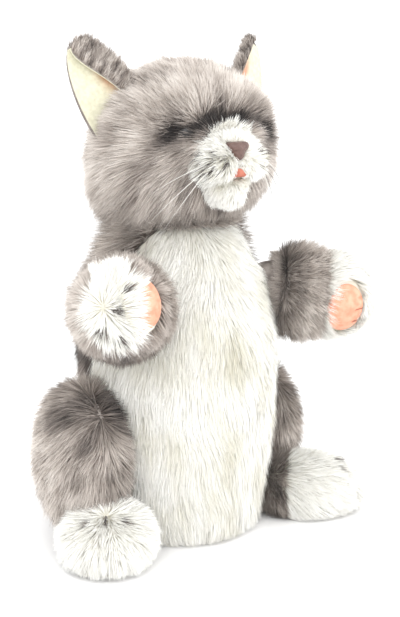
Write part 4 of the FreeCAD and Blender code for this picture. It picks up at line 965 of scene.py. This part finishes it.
for side, sign in (("left", 1), ("right", -1)):
    turn = leg_frame(side, sign)
    centre = turn @ np.array([sign * THIGH_SIDE, -THIGH_FRONT, 0]) + [0, 0, LEG[side][1]]
    foot_centre, foot_turn = FOOT[side]
    foot = turned_by(foot_turn, 0, 0)
    way = directions(80, 110)
    local = way * THIGH_HALF * (1 + 0.02 * bell(way, sign * 60, 30, 30)[..., None])
    outward = THIGH_SIDE + sign * local[..., 0]
    local[..., 0] = sign * (np.maximum(outward, HIP_OUT + 0.1) - THIGH_SIDE)
    thigh_grid = local @ turn.T + centre
    thigh_grid[..., 2] = np.maximum(thigh_grid[..., 2], 2.6)
    thigh_skin = cloth(f"thigh_{side}_cloth", thigh_grid, GREY_BACKING, low_pole=True, high_pole=True)
    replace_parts(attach(thigh_skin, f"leg_{side}"), f"thigh_{side}")
    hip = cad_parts[f"hip_seam_{side}"]
    hip.data.materials.clear()
    hip.data.materials.append(GREY_BACKING)
    roots, out = sow(thigh_grid, 2.7, 80 + sign)
    flank = (roots @ turn[:, 0]) * sign
    in_foot = (((roots - foot_centre) @ foot / FOOT_HALF) ** 2).sum(1) < 1
    kept = (flank > HIP_OUT + 0.4) & ~in_foot
    roots, out = roots[kept], out[kept]
    rel = (roots - centre) @ turn
    whorl = np.stack([0 * rel[:, 0], rel[:, 2], -rel[:, 1]], 1) / 30
    comb = along_skin(np.array([0, 0.35, -1.0]) + whorl @ turn.T * 0.35 + 0.3 * np.stack(
        [0 * rel[:, 0], mottle(roots, 26, 81), mottle(roots, 26, 82)], 1), out)
    # Painted light and shade: the right thigh is paler on the side away from the belly and darker towards it.
    outer = np.clip(0.5 + (roots - centre) @ ACROSS / 34, 0, 1)
    tone = 0.68 + 0.2 * mottle(roots * [1, 1, 0.8], 13, 83) + 0.1 * mottle(roots, 5, 84)
    if side == "right":
        tone += 0.14 * (1 - outer) - 0.14 * outer
    # Painted shade: darker along the top of the thigh and near its bottom, and the left thigh darker all over.
    tone -= 0.26 * bump_at(rel[:, 2] - 36, 9) + 0.12 * bump_at(rel[:, 2] + 34, 12) + (0.10 if side == "left" else 0)
    coat(f"leg_{side}", f"thigh_pile_{side}", (roots, out, comb, 10.5 + 0 * tone, tone), GREY_PILE, 85 + sign,
         lay=1.2, width=0.44, tuft=5.5, gather=0.35, wild=0.27)
    # the foot
    way = directions(80, 120)
    from_front = np.degrees(np.arctan2(way[..., 0], -way[..., 1]))
    toes = (0.05 * np.cos(from_front / 26 * 2 * np.pi + np.pi) * bump_at(from_front, 48)
            * bump_at(way[..., 2] - 0.15, 0.5))
    local = way * FOOT_HALF * (1 + toes[..., None])
    foot_grid = local @ foot.T + foot_centre
    foot_grid[..., 2] = np.maximum(foot_grid[..., 2], SOLE_TOP + 0.05)
    foot_skin = cloth(f"foot_{side}_cloth", foot_grid, WHITE_BACKING, low_pole=True, high_pole=True)
    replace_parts(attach(foot_skin, f"leg_{side}"), f"foot_{side}")
    shrink = np.sqrt(1 - ((foot_centre[2] - SOLE_TOP) / FOOT_HALF[2]) ** 2)
    round_turn = np.linspace(0, 2 * np.pi, 90, endpoint=False)[None]
    edge = np.array([0.0, 0.96, 1.0, 1.0, 0.97, 0.0])[:, None]
    level = np.array([0.02, 0.02, 0.5, 1.9, 2.45, 2.48])[:, None]
    sole_local = np.stack([FOOT_HALF[0] * shrink * edge * np.sin(round_turn),
                           -FOOT_HALF[1] * shrink * edge * np.cos(round_turn),
                           level - foot_centre[2] + 0 * round_turn], -1)
    sole = cloth(f"sole_{side}_felt", (sole_local @ foot.T + foot_centre)[1:-1], SOLE_FELT,
                 low_pole=True, high_pole=True)
    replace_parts(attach(sole, f"leg_{side}"), f"sole_pad_{side}")
    roots, out = sow(foot_grid, 3.9, 90 + sign)
    in_thigh = ((((roots - centre) @ turn) / THIGH_HALF) ** 2).sum(1) < 1
    kept = (roots[:, 2] > 3.2) & ~in_thigh
    roots, out = roots[kept], out[kept]
    rel = (roots - foot_centre) @ foot
    brushed = np.array([0, -1.0, -0.55]) if side == "left" else np.array([0, 0.35, -0.55])
    comb = along_skin(foot @ brushed + 0.6 * unit(roots - foot_centre), out)
    line = (sum(bump_at(rel[:, 0] - s * (1 - 0.012 * (rel[:, 1] + 24)), 0.75) for s in (-9.5, 0, 9.5))
            * bump_at(rel[:, 1] + 17, 4) * (rel[:, 2] > 5))
    dark = line > 0.62
    length = 8.0 + 1.0 * mottle(roots, 8, 91) - 1.5 * np.clip(line, 0, 1)
    # Painted shade: the white pile is darker just above the floor.
    tone = 0.92 + 0.06 * mottle(roots, 9, 92) - 0.10 * bump_at(roots[:, 2] - 4, 4)
    heel = rel[:, 1] > (14 if side == "left" else 25)
    white = ~dark & ~heel
    coat(f"leg_{side}", f"foot_pile_{side}", (roots, out, comb, length, tone), WHITE_PILE, 93 + sign, only=white,
         lay=1.3, tuft=4.5, gather=0.3)
    coat(f"leg_{side}", f"heel_pile_{side}", (roots, out, comb, length, 0.42 + 0.15 * mottle(roots, 9, 95)),
         GREY_PILE, 96 + sign, only=heel, lay=0.8, tuft=4.5)
    coat(f"leg_{side}", f"foot_marks_{side}", (roots + out * 2, out, comb, length, 0.28 + 0 * tone), GREY_PILE,
         98 + sign, only=dark, lay=1.3, tuft=3)

# ------------------------------------------------------------------ tail
# A stuffed tail of the grey plush with darker rings, sewn on low down at the back, curving
# up a little towards its blunt end.
TAIL_TURN, TAIL_LIFT, TAIL_LENGTH = np.radians(-36), np.radians(28), 84
TAIL_ROOT, TAIL_TIP = 10.5, 8
tail_foot = np.array([0, side_radius(np.array(36.0)) + 8, 36.0])
turn = turned_by(TAIL_TURN, 0, -(np.pi / 2 - TAIL_LIFT))
height = np.concatenate([-TAIL_ROOT * np.cos(np.linspace(0.05, np.pi / 2, 12)), np.linspace(4, TAIL_LENGTH - 2, 40),
                         TAIL_LENGTH + TAIL_TIP * np.sin(np.linspace(0, np.pi / 2 - 0.05, 12))])[:, None]
past = height - TAIL_LENGTH
radius = np.where(height < 0, np.sqrt(np.clip(TAIL_ROOT ** 2 - height ** 2, 0.2, None)), np.where(
    past < 0, TAIL_ROOT - 2.5 * height / TAIL_LENGTH, np.sqrt(np.clip(TAIL_TIP ** 2 - past ** 2, 0.2, None))))
tail_grid = tube(radius, height, turn, tail_foot, 72)
tail_grid[..., 2] += (4.0 * (np.clip(height, 0, None) / TAIL_LENGTH) ** 2)
tail_skin = cloth("tail_cloth", tail_grid, GREY_BACKING, low_pole=True, high_pole=True)
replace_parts(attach(tail_skin, "tail"), "tail", "tail_stuffing")
roots, out = sow(tail_grid, 2.4, 101)
reach = (roots - tail_foot) @ turn[:, 2]
comb = along_skin(turn[:, 2] + 0 * out, out)
tone = 0.56 + 0.14 * mottle(roots, 9, 102) - 0.28 * bump_at(np.sin(reach / 5.5) - 1, 0.5)
coat("tail", "tail_pile", (roots, out, comb, 9.5 + 0 * reach, tone), GREY_PILE, 103, lay=1.0, tuft=4.5)

# ------------------------------------------------------------------ floor, light and camera
# A seamless pale floor, a bright even surround, a broad soft key lamp from the front left and a fill lamp from the
# front right.
floor_mesh = bpy.data.meshes.new("floor")
floor_mesh.from_pydata([(-6, -6, -0.0004), (6, -6, -0.0004), (6, 6, -0.0004), (-6, 6, -0.0004)], [], [(0, 1, 2, 3)])
floor = bpy.data.objects.new("floor", floor_mesh)
bpy.context.scene.collection.objects.link(floor)
paper, tree, shader = fresh("floor_paper", 0.95)
shader.inputs["Base Color"].default_value = (0.93, 0.93, 0.93, 1)
floor_mesh.materials.append(paper)

world = bpy.data.worlds.new("surround")
bpy.context.scene.world = world
world.use_nodes = True
world.node_tree.nodes["Background"].inputs["Color"].default_value = (1, 1, 1, 1)
world.node_tree.nodes["Background"].inputs["Strength"].default_value = 1.45

TARGET = np.array([0, 0, 0.165])


def aim(thing, spot, target):
    """Puts a lamp or a camera at spot, looking at target with its top upwards."""
    thing.location = spot
    thing.rotation_euler = (Vector(target) - Vector(spot)).to_track_quat("-Z", "Y").to_euler()


for name, spot, size, power in (("key", (-0.9, -1.1, 1.3), 1.2, 12), ("fill", (0.9, -1.2, 0.7), 1.2, 6)):
    lamp = bpy.data.lights.new(name, "AREA")
    lamp.size, lamp.energy = size, power
    made = bpy.data.objects.new(name, lamp)
    bpy.context.scene.collection.objects.link(made)
    aim(made, spot, TARGET)

AZIMUTH, ELEVATION, DISTANCE = np.radians(-35), np.radians(10), 0.8
back_to_camera = np.array([np.sin(AZIMUTH) * np.cos(ELEVATION), -np.cos(AZIMUTH) * np.cos(ELEVATION),
                           np.sin(ELEVATION)])
camera_data = bpy.data.cameras.new("camera")
camera_data.lens, camera_data.sensor_width = 76.55, 36
camera_data.shift_x, camera_data.shift_y = 0.0357, -0.080
camera = bpy.data.objects.new("camera", camera_data)
bpy.context.scene.collection.objects.link(camera)
aim(camera, TARGET + DISTANCE * back_to_camera, TARGET)
bpy.context.scene.camera = camera
bpy.context.scene.view_settings.view_transform = "Standard"
